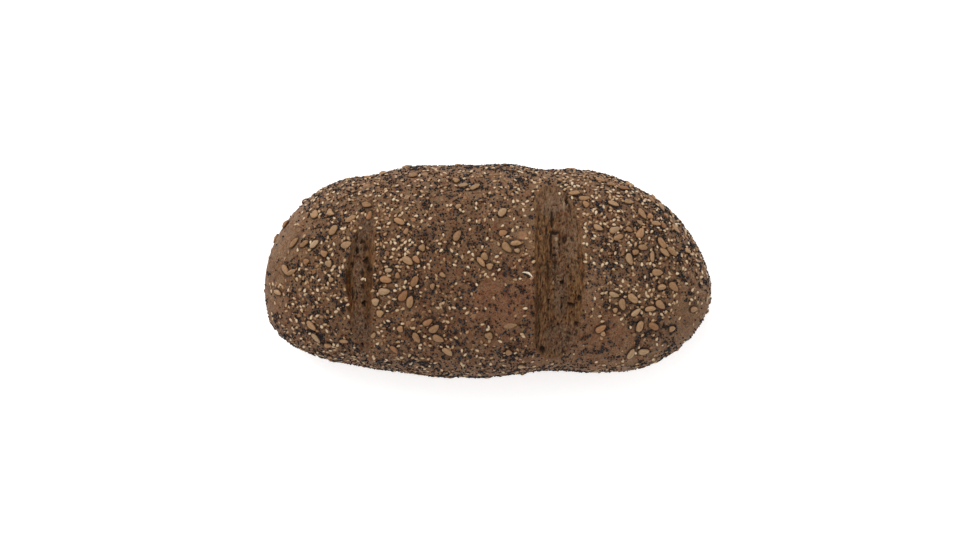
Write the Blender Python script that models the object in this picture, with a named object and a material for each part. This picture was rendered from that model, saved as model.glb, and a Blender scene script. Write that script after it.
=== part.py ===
"""A seeded oval loaf with two open cuts across its top, baked as one piece.

X runs along the loaf, Y across it and Z up, in metres. The origin lies on the flat base, under the
middle of the outline. The crust is a closed skin laid out by one function of the station along the
loaf and the angle round its section. Sunflower kernels lie half sunk in it and are fused to it.
"""

import math
from typing import NamedTuple

import bmesh
import bpy
import numpy as np
from mathutils import Matrix, Vector

MM = 0.001

# Overall size.
LENGTH = 308 * MM
WIDTH = 145.6 * MM
HEIGHT = 92 * MM
GIRTH_HEIGHT = 37 * MM  # where the loaf is widest, above the base
BASE_ROUNDING = 4 * MM  # the crust turns under to the base over this height

# How the plan closes at each end: half width = (1 - |t| ** power) ** root, t from 0 to 1.
BLUNT_END = (3.1, 0.445)  # -X
POINTED_END = (3.65, 0.61)  # +X
BLUNT_CREST = (2.7, 0.44)  # the same for the height above the girth
POINTED_CREST = (2.6, 0.52)
KEEL_END = (5.0, 0.42)  # and for the depth below it
KEEL_DEPTH = 1.3  # of the girth height, so that the base cuts it off flat
CROWN_POWER = 2.15  # of the section's superellipse above the girth, and below it
TUCK_POWER = 2.6

# The loaf bows towards -Y at both ends: (how far, from which |t| on, power).
BLUNT_BOW = (12.2 * MM, 0.42, 3.2)
POINTED_BOW = (14 * MM, 0.2, 2.1)

# The mesh: sections along the loaf and points round each section.
SECTIONS = 64
ROUND = 38
SECTION_SHARE_AT_CUTS = 2.6  # sections stand this much closer across a cut
CUT_MARGIN = 3 * MM  # and this far beside it


class Cut(NamedTuple):
    """An opened slash across the top. v runs from -1 to 1 along it, towards +Y."""

    middle: float  # Y of its middle
    half_span: float
    crease: float  # X of its deepest line at v = 0
    lean: float  # X that the crease gains per v, and per v squared
    bow: float
    left: float  # reach of the steep wall on the -X side, and of the gentle one
    right: float
    left_power: float  # 2 gives a round edge in plan, more a straighter one
    depth: float


CUTS = (
    Cut(-7 * MM, 48 * MM, -92 * MM, 1.4 * MM, 9 * MM, 5.5 * MM, 13.5 * MM, 2, 5 * MM),
    Cut(-1 * MM, 59 * MM, 44 * MM, 0, 0, 12.4 * MM, 22.8 * MM, 6, 7 * MM),
)
WALL_CURVE = (1.5, 0.7)
FIBRE_PITCH = 7.5 * MM  # ridges of torn crumb along each cut
FIBRE_RELIEF = 0.5 * MM
FIBRE_WANDER = 1.2 * MM
FIBRE_WANDER_PITCH = 11 * MM
FIBRES_FULL_AT = 2 * MM  # of the cut's depth


class Waist(NamedTuple):
    """Where the outline draws in beside a cut."""

    place: float
    left: float  # how far along X it fades out, on each side
    right: float
    front: float  # how far the -Y edge draws in, and the +Y edge
    rear: float


WAISTS = (
    Waist(-80 * MM, 23 * MM, 23 * MM, 2.7 * MM, 2.2 * MM),
    Waist(36.3 * MM, 15 * MM, 32 * MM, 4.8 * MM, 2.3 * MM),
)

# Long low swells of the crust: (relief, wavelength along X, round the section in turns, phase).
SWELLS = (
    (0.7 * MM, 61 * MM, 3, 0.4),
    (0.5 * MM, 37 * MM, 5, 2.1),
    (0.35 * MM, 23 * MM, 8, 4.0),
)

# Whole kernels seen from above: X and Y in mm, how the long side is turned in degrees, and the
# length and width in mm.
WHOLE_KERNELS = (
    (-118.7, 39.2, 85, 7.4, 5.2), (-107, 41, -52, 8.4, 4.3), (-94, 35.2, 31, 9.0, 3.6),
    (-81.5, 38, 68, 7.4, 3.3), (-83, 45, -14, 7.4, 4.5), (-106, 28.1, 51, 8.8, 4.7),
    (-97, 18, 17, 8.5, 4.9), (-133, 19, 54, 9.2, 3.7), (-126, 18.4, 31, 8.0, 3.5),
    (-119, 18.4, 48, 8.2, 3.9), (-139, 0.8, -60, 9.2, 4.4), (-134.6, -0.9, 31, 8.2, 3.4),
    (-139, 32, 50, 7.2, 4.0), (-144.2, -15, -24, 7.2, 3.6), (-121, -37.1, -42, 9.2, 4.7),
    (-118, -46.2, -48, 9.6, 4.2), (-98.8, -48, -4, 6.8, 3.2), (-83, 64, -5, 5.6, 3.0),
    (-72.3, 66.6, 5, 6.6, 4.0), (-51.8, 65.9, 0, 6.8, 3.8), (-17, 57.9, 2, 7.2, 3.2),
    (-9, 57, 22, 8.4, 3.9), (-60.8, 33.6, -27, 8.6, 3.8), (-21, 24, 62, 9.2, 4.5),
    (-55.1, 6.9, -33, 9.2, 4.8), (-49, 7.7, -47, 6.8, 3.8), (-2.2, 9.8, -62, 6.2, 4.7),
    (-4.8, 6.1, -52, 8.8, 3.6), (-70, -6, -12, 8.9, 4.7), (-50.2, -7.1, 60, 9.0, 4.4),
    (-71, -14, 5, 9.3, 4.7), (-58.1, -16.8, 50, 9.4, 5.2), (-53, -21, 77, 9.3, 4.7),
    (-41.3, -34.6, 27, 8.0, 3.7), (-37, -39.2, 35, 9.0, 4.7), (-34, -46, -28, 9.2, 4.9),
    (-28, -55.1, -35, 9.2, 4.9), (-49, -45.2, -57, 9.4, 4.3), (-64.5, -53.2, -37, 7.2, 3.7),
    (10, 40.1, 46, 8.0, 5.0), (10.3, 25.9, 12, 6.6, 4.2), (19.1, 18.7, 2, 8.4, 3.6),
    (13, 16, -47, 9.4, 4.7), (13.9, -55.4, 90, 6.4, 4.6), (59, 53, 0, 8.8, 3.3),
    (66, 50.3, -3, 8.6, 3.6), (77, 62, -18, 7.6, 3.6), (84.6, 59.2, -5, 7.4, 3.2),
    (93.5, 56.9, -8, 8.4, 3.2), (97.5, 58.9, -38, 8.2, 3.6), (112.4, 48.1, -50, 7.2, 3.8),
    (118.9, 43.8, -45, 7.4, 4.2), (105.9, 38.9, -53, 9.4, 4.2), (85.9, 45.9, -22, 8.6, 3.6),
    (96.5, 46.6, -8, 7.2, 3.6), (75.5, 29.9, -25, 7.8, 3.8), (86.8, 28, 20, 8.8, 4.4),
    (89.1, 22.7, 23, 8.2, 3.8), (104, 26.1, 60, 9.2, 5.0), (115.2, 32, -12, 7.8, 3.4),
    (129, 29, -45, 8.8, 3.9), (118.9, 19, -60, 9.2, 4.2), (126, 12.9, -42, 9.2, 4.3),
    (121, 12.8, -48, 9.0, 4.0), (105.9, 15.9, 0, 7.6, 4.0), (97, 8.2, -68, 9.2, 4.7),
    (112.6, 10, 88, 8.8, 3.4), (116, -1, 0, 8.8, 4.9), (118.9, -11.2, 5, 7.4, 4.1),
    (127.2, -11, -47, 9.2, 4.7), (141.2, -26, 4, 6.8, 4.2), (99, -19, -42, 9.4, 4.8),
    (92.1, -23, -76, 9.3, 4.6), (86.3, -16.2, -17, 8.2, 3.4), (118, -23, -42, 9.4, 4.7),
    (111.1, -26.2, 5, 8.6, 3.8), (101.2, -28.3, 36, 8.8, 3.8), (77.3, -39.1, 37, 9.4, 4.5),
    (104, -38, 77, 9.3, 4.8), (113.3, -38.1, -31, 8.8, 4.5), (98, -56.2, 57, 9.0, 4.5),
    (106.9, -55, 3, 8.8, 4.4),
)  # fmt: skip
# Broken kernels and round ones, the same way.
BROKEN_KERNELS = (
    (-112.2, 11.9, 20, 5.2, 4.9), (-124.4, 6.4, 60, 4.8, 4.4), (-109, 5, -30, 5.3, 4.9),
    (-110, -50.9, 10, 5.2, 4.3), (-22, 61.8, 0, 5.2, 4.3), (-56.2, 27, 80, 4.6, 4.3),
    (-45.1, 15.8, -20, 5.0, 4.9), (-20.4, 43.2, 45, 4.2, 4.0), (-68.1, 0.6, 15, 5.2, 3.9),
    (-61.9, -3.2, -40, 4.4, 3.8), (-77, -21.2, -15, 6.0, 5.4), (-74, -29, 60, 5.4, 5.0),
    (-60, -39.1, 10, 5.2, 4.8), (-78.6, -44.1, 70, 4.3, 3.6), (1.1, 3.1, -10, 5.4, 4.4),
    (0.7, -44.5, -25, 6.2, 5.2), (19.8, 13.9, 45, 3.9, 3.6), (23, -65.3, 0, 5.4, 4.6),
    (67, 46.1, 0, 5.0, 4.6), (113.4, 50.2, -45, 6.4, 4.0), (122, 38, 20, 4.8, 4.2),
    (111, 37, 0, 5.0, 4.4), (120, 31, -30, 5.0, 4.2), (100.9, 13, 30, 5.0, 4.7),
    (137, 14, -10, 5.2, 4.8), (86.9, -26.9, 0, 4.0, 3.5), (78.9, -42.6, 30, 4.0, 3.7),
    (126, -38.9, 45, 5.0, 4.8), (96.5, 28, -20, 5.0, 4.2), (-107.4, -5.8, 80, 4.2, 3.4),
    (-31.1, -2.6, -20, 4.5, 3.8), (-38.2, -10.2, 80, 4.7, 3.3), (-108.6, -59.3, 0, 4.0, 3.2),
)  # fmt: skip

# Kernels low on the sides are of this length and width. Every kernel has this thickness, uneven by
# the spread, and stands proud of the crust by a share of it.
SIDE_LENGTH = 8.8 * MM
SIDE_WIDTH = 4.3 * MM
THICKNESS = 2.7 * MM
SIZE_SPREAD = 0.14
PROUD_SHARE = 0.58
KERNEL_TAPER = 0.3
KERNEL_SIDES = 6
KERNEL_RINGS = 3

# Kernels low on the sides, spread by a rule.
SIDE_KERNELS = 40
SIDE_SPACING = 13 * MM
SIDE_FROM = 11 * MM  # heights between which they lie, under the widest line
SIDE_TO = 32 * MM
SIDE_SPAN = (0.06, 0.94)  # shares of the way from tip to tip
SIDE_ANGLES = (-0.8, 0)  # below the girth
SIDE_SLANT = 2.0
SEED = 11

# Small steps and limits that keep the sums well behaved.
LEAST_REACH = 0.1 * MM
LEAST_RADIUS = 10 * MM
TINY = 1e-6
NEARLY_ONE = 0.999
SEAT_STEP = 0.4 * MM
SEAT_TURN = 0.01
STEEPEST = 0.25
STATION_SAMPLES = 4001
SLIVER = 0.02 * MM

CRUST_COLOUR = (0.15, 0.085, 0.048)
CRUST_ROUGHNESS = 0.75


def taper(t, end):
    """The share of its full size that a section keeps at t, which is 1 at the middle."""
    power, root = end
    return np.clip(1 - np.abs(t) ** power, 0, None) ** root


def bow(t, end):
    """How far the loaf bows towards -Y at t."""
    reach, start, power = end
    return reach * (np.clip(np.abs(t) - start, 0, None) / (1 - start)) ** power


def draw_in(x, towards_front):
    """How far the outline draws in beside the cuts."""
    total = 0
    for waist in WAISTS:
        away = x - waist.place
        fade = np.exp(-((away / np.where(away < 0, waist.left, waist.right)) ** 2))
        total = total + fade * np.where(towards_front, waist.front, waist.rear)
    return total


def cut_sink(x, y):
    """How deep the cuts lie below the crust at a place in plan, with the crumb's long ridges."""
    sink = 0
    wall_power, wall_root = WALL_CURVE
    for cut in CUTS:
        v = np.clip((y - cut.middle) / cut.half_span, -1, 1)
        away = x - (cut.crease + cut.lean * v + cut.bow * v * v)
        left_reach = cut.left * np.sqrt(1 - np.abs(v) ** cut.left_power)
        right_reach = cut.right * np.sqrt(1 - v * v)
        reach = np.maximum(np.where(away < 0, left_reach, right_reach), LEAST_REACH)
        u = np.clip(np.abs(away) / reach, 0, 1)
        depth = cut.depth * (1 - np.abs(v) ** 3) * (1 - u**wall_power) ** wall_root
        wander = FIBRE_WANDER * np.sin(y / FIBRE_WANDER_PITCH)
        ridges = FIBRE_RELIEF * np.cos(2 * math.pi * (away + wander) / FIBRE_PITCH)
        sink = sink + depth + ridges * np.minimum(depth / FIBRES_FULL_AT, 1)
    return sink


def swell(x, angle):
    """The crust's long low unevenness."""
    total = 0
    for relief, wavelength, turns, phase in SWELLS:
        along = np.sin(2 * math.pi * x / wavelength + phase)
        total = total + relief * along * np.cos(turns * angle + 2 * phase)
    return total


def soft_floor(z):
    """The base is flat at 0, and the crust turns into it on a small curve."""
    turn = (z + BASE_ROUNDING) ** 2 / (4 * BASE_ROUNDING)
    return np.where(z < -BASE_ROUNDING, 0, np.where(z < BASE_ROUNDING, turn, z))


def crust(x, angle):
    """Points of the crust, an array with X, Y and Z last.

    The angle starts at the +Y side and turns up over the top.
    """
    t = np.clip(x / (LENGTH / 2), -1, 1)
    blunt = t < 0
    plan = np.where(blunt, taper(t, BLUNT_END), taper(t, POINTED_END))
    middle = -np.where(blunt, bow(t, BLUNT_BOW), bow(t, POINTED_BOW))
    across = np.cos(angle)
    above = np.sin(angle)
    upper = above >= 0
    power = np.where(upper, 2 / CROWN_POWER, 2 / TUCK_POWER)
    half = (WIDTH / 2 - draw_in(x, across < 0)) * plan
    crown = np.where(blunt, taper(t, BLUNT_CREST), taper(t, POINTED_CREST))
    crest = (HEIGHT - GIRTH_HEIGHT) * crown
    keel = KEEL_DEPTH * GIRTH_HEIGHT * taper(t, KEEL_END)
    side = half * np.sign(across) * np.abs(across) ** power
    rise = np.where(upper, crest, keel) * np.sign(above) * np.abs(above) ** power
    out = swell(x, angle) * plan
    out = out - np.where(upper, cut_sink(x, middle + side), 0)
    radius = np.maximum(np.hypot(side, rise), TINY)
    grow = 1 + out / np.maximum(radius, LEAST_RADIUS)
    z = GIRTH_HEIGHT + rise * grow
    return np.stack([x + 0 * z, middle + side * grow, soft_floor(z)], axis=-1)


def stations():
    """X of each section from tip to tip, closer together at the ends and across the cuts."""
    fine = np.linspace(0, 1, STATION_SAMPLES)
    x = -LENGTH / 2 * np.cos(math.pi * fine)
    density = np.ones_like(fine)
    for cut in CUTS:
        middle = cut.crease + (cut.right - cut.left) / 2
        reach = (cut.left + cut.right) / 2 + CUT_MARGIN
        density += SECTION_SHARE_AT_CUTS * np.exp(-(((x - middle) / reach) ** 4))
    share = np.concatenate([[0], np.cumsum((density[1:] + density[:-1]) / 2)])
    return np.interp(np.linspace(0, 1, SECTIONS + 1), share / share[-1], x)


def make_crust(collection):
    """The loaf without its kernels: a sphere whose rings become the loaf's sections."""
    bm = bmesh.new()
    bmesh.ops.create_uvsphere(bm, u_segments=ROUND, v_segments=SECTIONS, radius=1)
    x_of_ring = stations()
    for vertex in bm.verts:
        ring = round(SECTIONS * (1 - math.acos(max(-1, min(1, vertex.co.z))) / math.pi))
        angle = math.atan2(vertex.co.y, vertex.co.x)
        vertex.co = Vector(crust(x_of_ring[ring], angle))
    mesh = bpy.data.meshes.new("loaf")
    bm.to_mesh(mesh)
    bm.free()
    loaf = bpy.data.objects.new("loaf", mesh)
    collection.objects.link(loaf)
    return loaf


def angle_above(x, y):
    """The section angle of the crust's upper side at a place in plan."""
    t = x / (LENGTH / 2)
    end, end_bow = (BLUNT_END, BLUNT_BOW) if t < 0 else (POINTED_END, POINTED_BOW)
    offset = y + bow(t, end_bow)
    half = (WIDTH / 2 - draw_in(x, offset < 0)) * taper(t, end)
    share = max(-NEARLY_ONE, min(NEARLY_ONE, offset / half))
    return math.acos(math.copysign(abs(share) ** (CROWN_POWER / 2), share))


def seat(x, angle):
    """A point of the crust and the outward normal there."""
    along = Vector(crust(x + SEAT_STEP, angle) - crust(x - SEAT_STEP, angle))
    around = Vector(crust(x, angle + SEAT_TURN) - crust(x, angle - SEAT_TURN))
    return Vector(crust(x, angle)), around.cross(along).normalized()


def lie_on(point, normal, heading, proud):
    """The placement of a kernel whose flat side lies on the crust, its long side along heading."""
    across = normal.cross(heading).normalized()
    along = across.cross(normal)
    turn = Matrix((along, across, normal)).transposed().to_4x4()
    return Matrix.Translation(point + normal * proud) @ turn


def add_kernel(collection, name, size, placement):
    """One kernel: a flattened sphere, its poles at its ends, narrower towards one of them."""
    length, width, thickness = size
    bm = bmesh.new()
    bmesh.ops.create_uvsphere(
        bm, u_segments=KERNEL_SIDES, v_segments=KERNEL_RINGS, radius=0.5
    )
    for vertex in bm.verts:
        y, z, x = vertex.co
        narrow = 1 - KERNEL_TAPER * 2 * x
        vertex.co = (length * x, width * y * narrow, thickness * z * narrow)
    bm.transform(placement)
    mesh = bpy.data.meshes.new(name)
    bm.to_mesh(mesh)
    bm.free()
    collection.objects.link(bpy.data.objects.new(name, mesh))


def uneven(draw):
    """A factor for a kernel's size, uneven as real ones are."""
    return 1 + SIZE_SPREAD * draw.uniform(-1, 1)


def side_places(draw):
    """Stations and angles of the kernels low on the sides, kept apart from each other."""
    found = []
    points = []
    while len(found) < SIDE_KERNELS:
        x = -LENGTH / 2 * math.cos(math.pi * draw.uniform(*SIDE_SPAN))
        angle = draw.uniform(*SIDE_ANGLES)
        if draw.uniform(0, 1) < 0.5:
            angle = math.pi - angle
        point = Vector(crust(x, angle))
        clear = all((point - other).length > SIDE_SPACING for other in points)
        if SIDE_FROM < point.z < SIDE_TO and clear:
            found.append((x, angle))
            points.append(point)
    return found


def make_kernels(collection):
    """Every kernel, each an object of its own."""
    draw = np.random.default_rng(SEED)
    lift = PROUD_SHARE - 0.5
    for i, (x, y, turned, length, width) in enumerate(WHOLE_KERNELS + BROKEN_KERNELS):
        point, normal = seat(x * MM, angle_above(x * MM, y * MM))
        heading = Vector((math.cos(math.radians(turned)), math.sin(math.radians(turned)), 0))
        heading.z = -normal.xy.dot(heading.xy) / max(normal.z, STEEPEST)
        size = (length * MM, width * MM, THICKNESS * uneven(draw))
        placement = lie_on(point, normal, heading, lift * size[2])
        add_kernel(collection, f"top_{i}", size, placement)
    for i, (x, angle) in enumerate(side_places(draw)):
        point, normal = seat(x, angle)
        slant = draw.uniform(-SIDE_SLANT, SIDE_SLANT, 2)
        heading = Vector((1, *slant))
        size = (SIDE_LENGTH * uneven(draw), SIDE_WIDTH * uneven(draw), THICKNESS * uneven(draw))
        placement = lie_on(point, normal, heading, lift * size[2])
        add_kernel(collection, f"side_{i}", size, placement)


def fuse(loaf, toppings):
    """Joins the toppings to the loaf in one union, and removes them."""
    union = loaf.modifiers.new("kernels", "BOOLEAN")
    union.operation = "UNION"
    union.operand_type = "COLLECTION"
    union.collection = toppings
    union.solver = "EXACT"
    bpy.context.view_layer.update()
    evaluated = loaf.evaluated_get(bpy.context.evaluated_depsgraph_get())
    joined = bpy.data.meshes.new_from_object(evaluated)
    loaf.modifiers.remove(union)
    loaf.data = joined
    for topping in list(toppings.objects):
        bpy.data.objects.remove(topping)
    bpy.data.collections.remove(toppings)


def keep_outer_skin(mesh):
    """Drops slivers, loose scraps and sealed hollows: only the largest shell stays."""
    bm = bmesh.new()
    bm.from_mesh(mesh)
    bmesh.ops.triangulate(bm, faces=bm.faces)
    bmesh.ops.dissolve_degenerate(bm, dist=SLIVER, edges=bm.edges)
    bmesh.ops.triangulate(bm, faces=bm.faces)
    shells = []
    waiting = set(bm.verts)
    while waiting:
        shell = [waiting.pop()]
        for vertex in shell:
            near = {edge.other_vert(vertex) for edge in vertex.link_edges} & waiting
            waiting -= near
            shell.extend(near)
        shells.append(shell)
    shells.sort(key=len)
    scraps = [vertex for shell in shells[:-1] for vertex in shell]
    bmesh.ops.delete(bm, geom=scraps, context="VERTS")
    bm.to_mesh(mesh)
    bm.free()


def dark_crust():
    """Baked dark wheat crust."""
    material = bpy.data.materials.new("dark_crust")
    material.use_nodes = True
    shader = material.node_tree.nodes["Principled BSDF"]
    shader.inputs["Base Color"].default_value = (*CRUST_COLOUR, 1)
    shader.inputs["Roughness"].default_value = CRUST_ROUGHNESS
    shader.inputs["Metallic"].default_value = 0
    return material


def main():
    for old in list(bpy.data.objects):
        bpy.data.objects.remove(old)
    bread = bpy.data.collections.new("seeded_loaf")
    toppings = bpy.data.collections.new("toppings")
    bpy.context.scene.collection.children.link(bread)
    bpy.context.scene.collection.children.link(toppings)
    loaf = make_crust(bread)
    make_kernels(toppings)
    fuse(loaf, toppings)
    keep_outer_skin(loaf.data)
    loaf.data.materials.clear()
    loaf.data.materials.append(dark_crust())


if __name__ == "__main__":
    main()
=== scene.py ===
"""The looks of a seeded oval loaf: its crust, the torn crumb in its two cuts, and its seeds.

X runs along the loaf, Y across it and Z up, in metres, as in the frame. The crust's form is the one that
the frame's solid has, worked out here again at a finer pitch.
"""

import math
from functools import lru_cache
from typing import NamedTuple

import bmesh
import bpy
import numpy as np
from bpy.props import FloatProperty, FloatVectorProperty, IntProperty, PointerProperty
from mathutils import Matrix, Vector, noise
from mathutils.kdtree import KDTree


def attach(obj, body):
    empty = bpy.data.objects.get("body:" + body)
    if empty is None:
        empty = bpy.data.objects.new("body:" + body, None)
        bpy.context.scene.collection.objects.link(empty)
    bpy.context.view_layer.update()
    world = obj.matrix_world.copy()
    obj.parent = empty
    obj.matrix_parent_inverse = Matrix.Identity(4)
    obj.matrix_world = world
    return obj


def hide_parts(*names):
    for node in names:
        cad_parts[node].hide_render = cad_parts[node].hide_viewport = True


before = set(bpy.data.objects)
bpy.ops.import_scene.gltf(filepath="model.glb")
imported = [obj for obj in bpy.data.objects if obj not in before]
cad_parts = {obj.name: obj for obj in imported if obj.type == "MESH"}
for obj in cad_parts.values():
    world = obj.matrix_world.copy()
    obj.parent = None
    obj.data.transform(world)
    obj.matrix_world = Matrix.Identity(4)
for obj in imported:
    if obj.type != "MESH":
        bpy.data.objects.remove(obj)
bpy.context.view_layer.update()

bl_info = {
    "name": "Seeded oval loaf",
    "version": (1, 0, 0),
    "blender": (4, 5, 0),
    "location": "View3D > Sidebar > Loaf",
    "description": "Crust, torn crumb, kernels and seeds of a dark seeded loaf",
    "category": "Object",
}

MM = 0.001

# ---- The loaf's form, the same as the frame's solid ----
LENGTH = 308 * MM
WIDTH = 145.6 * MM
HEIGHT = 92 * MM
GIRTH_HEIGHT = 37 * MM  # where the loaf is widest, above the base
BASE_ROUNDING = 4 * MM  # the crust turns under to the base over this height
LEAST_RADIUS = 10 * MM  # relief fades out closer than this to a section's middle, at the tips

# How the plan closes at each end: half width = (1 - |t| ** power) ** root, t from 0 to 1.
BLUNT_END = (3.1, 0.445)  # -X
POINTED_END = (3.65, 0.61)  # +X
BLUNT_CREST = (2.7, 0.44)  # the same for the height above the girth
POINTED_CREST = (2.6, 0.52)
KEEL_END = (5.0, 0.42)  # and for the depth below it
KEEL_DEPTH = 1.3  # of the girth height, so that the base cuts it off flat
CROWN_POWER = 2.15  # of the section's superellipse above the girth, and below it
TUCK_POWER = 2.6

# The loaf bows towards -Y at both ends: (how far, from which |t| on, power).
BLUNT_BOW = (12.2 * MM, 0.42, 3.2)
POINTED_BOW = (14 * MM, 0.2, 2.1)


class Cut(NamedTuple):
    """An opened slash across the top. v runs from -1 to 1 along it, towards +Y."""

    middle: float  # Y of its middle
    half_span: float
    crease: float  # X of its deepest line at v = 0
    lean: float  # X that the crease gains per v, and per v squared
    bow: float
    left: float  # reach of the steep wall on the -X side, and of the gentle one
    right: float
    left_power: float  # 2 gives a round edge in plan, more a straighter one
    depth: float


NARROW_CUT = Cut(
    middle=-7 * MM, half_span=48 * MM, crease=-92 * MM, lean=1.4 * MM, bow=9 * MM,
    left=5.5 * MM, right=13.5 * MM, left_power=2, depth=5 * MM,
)  # fmt: skip
WIDE_CUT = Cut(
    middle=-1 * MM, half_span=59 * MM, crease=44 * MM, lean=0, bow=0,
    left=12.4 * MM, right=22.8 * MM, left_power=6, depth=7 * MM,
)  # fmt: skip
CUTS = (NARROW_CUT, WIDE_CUT)
# A cut's wall rises from its crease to its rim as 1 - (1 - u ** power) ** root, u from 0 to 1.
WALL_CURVE = (1.5, 0.7)
CUT_END_POWER = 3  # more keeps a cut deep for longer towards its ends
LEAST_REACH = 0.1 * MM  # of a wall, at the very ends of a cut


class Waist(NamedTuple):
    """Where the outline draws in beside a cut."""

    place: float
    left: float  # how far along X it fades out, on each side
    right: float
    front: float  # how far the -Y edge draws in, and the +Y edge
    rear: float


WAISTS = (
    Waist(-80 * MM, 23 * MM, 23 * MM, 2.7 * MM, 2.2 * MM),
    Waist(36.3 * MM, 15 * MM, 32 * MM, 4.8 * MM, 2.3 * MM),
)

# Long low swells of the crust: (relief, wavelength along X, round the section in turns, phase).
SWELLS = (
    (0.7 * MM, 61 * MM, 3, 0.4),
    (0.5 * MM, 37 * MM, 5, 2.1),
    (0.35 * MM, 23 * MM, 8, 4.0),
)

# Whole kernels seen from above: X and Y in mm, how the long side is turned in degrees, and the
# length and width in mm.
WHOLE_KERNELS = (
    (-118.7, 39.2, 85, 7.4, 5.2), (-107, 41, -52, 8.4, 4.3), (-94, 35.2, 31, 9.0, 3.6),
    (-81.5, 38, 68, 7.4, 3.3), (-83, 45, -14, 7.4, 4.5), (-106, 28.1, 51, 8.8, 4.7),
    (-97, 18, 17, 8.5, 4.9), (-133, 19, 54, 9.2, 3.7), (-126, 18.4, 31, 8.0, 3.5),
    (-119, 18.4, 48, 8.2, 3.9), (-139, 0.8, -60, 9.2, 4.4), (-134.6, -0.9, 31, 8.2, 3.4),
    (-139, 32, 50, 7.2, 4.0), (-144.2, -15, -24, 7.2, 3.6), (-121, -37.1, -42, 9.2, 4.7),
    (-118, -46.2, -48, 9.6, 4.2), (-98.8, -48, -4, 6.8, 3.2), (-83, 64, -5, 5.6, 3.0),
    (-72.3, 66.6, 5, 6.6, 4.0), (-51.8, 65.9, 0, 6.8, 3.8), (-17, 57.9, 2, 7.2, 3.2),
    (-9, 57, 22, 8.4, 3.9), (-60.8, 33.6, -27, 8.6, 3.8), (-21, 24, 62, 9.2, 4.5),
    (-55.1, 6.9, -33, 9.2, 4.8), (-49, 7.7, -47, 6.8, 3.8), (-2.2, 9.8, -62, 6.2, 4.7),
    (-4.8, 6.1, -52, 8.8, 3.6), (-70, -6, -12, 8.9, 4.7), (-50.2, -7.1, 60, 9.0, 4.4),
    (-71, -14, 5, 9.3, 4.7), (-58.1, -16.8, 50, 9.4, 5.2), (-53, -21, 77, 9.3, 4.7),
    (-41.3, -34.6, 27, 8.0, 3.7), (-37, -39.2, 35, 9.0, 4.7), (-34, -46, -28, 9.2, 4.9),
    (-28, -55.1, -35, 9.2, 4.9), (-49, -45.2, -57, 9.4, 4.3), (-64.5, -53.2, -37, 7.2, 3.7),
    (10, 40.1, 46, 8.0, 5.0), (10.3, 25.9, 12, 6.6, 4.2), (19.1, 18.7, 2, 8.4, 3.6),
    (13, 16, -47, 9.4, 4.7), (13.9, -55.4, 90, 6.4, 4.6), (59, 53, 0, 8.8, 3.3),
    (66, 50.3, -3, 8.6, 3.6), (77, 62, -18, 7.6, 3.6), (84.6, 59.2, -5, 7.4, 3.2),
    (93.5, 56.9, -8, 8.4, 3.2), (97.5, 58.9, -38, 8.2, 3.6), (112.4, 48.1, -50, 7.2, 3.8),
    (118.9, 43.8, -45, 7.4, 4.2), (105.9, 38.9, -53, 9.4, 4.2), (85.9, 45.9, -22, 8.6, 3.6),
    (96.5, 46.6, -8, 7.2, 3.6), (75.5, 29.9, -25, 7.8, 3.8), (86.8, 28, 20, 8.8, 4.4),
    (89.1, 22.7, 23, 8.2, 3.8), (104, 26.1, 60, 9.2, 5.0), (115.2, 32, -12, 7.8, 3.4),
    (129, 29, -45, 8.8, 3.9), (118.9, 19, -60, 9.2, 4.2), (126, 12.9, -42, 9.2, 4.3),
    (121, 12.8, -48, 9.0, 4.0), (105.9, 15.9, 0, 7.6, 4.0), (97, 8.2, -68, 9.2, 4.7),
    (112.6, 10, 88, 8.8, 3.4), (116, -1, 0, 8.8, 4.9), (118.9, -11.2, 5, 7.4, 4.1),
    (127.2, -11, -47, 9.2, 4.7), (141.2, -26, 4, 6.8, 4.2), (99, -19, -42, 9.4, 4.8),
    (92.1, -23, -76, 9.3, 4.6), (86.3, -16.2, -17, 8.2, 3.4), (118, -23, -42, 9.4, 4.7),
    (111.1, -26.2, 5, 8.6, 3.8), (101.2, -28.3, 36, 8.8, 3.8), (77.3, -39.1, 37, 9.4, 4.5),
    (104, -38, 77, 9.3, 4.8), (113.3, -38.1, -31, 8.8, 4.5), (98, -56.2, 57, 9.0, 4.5),
    (106.9, -55, 3, 8.8, 4.4),
)  # fmt: skip
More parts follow.
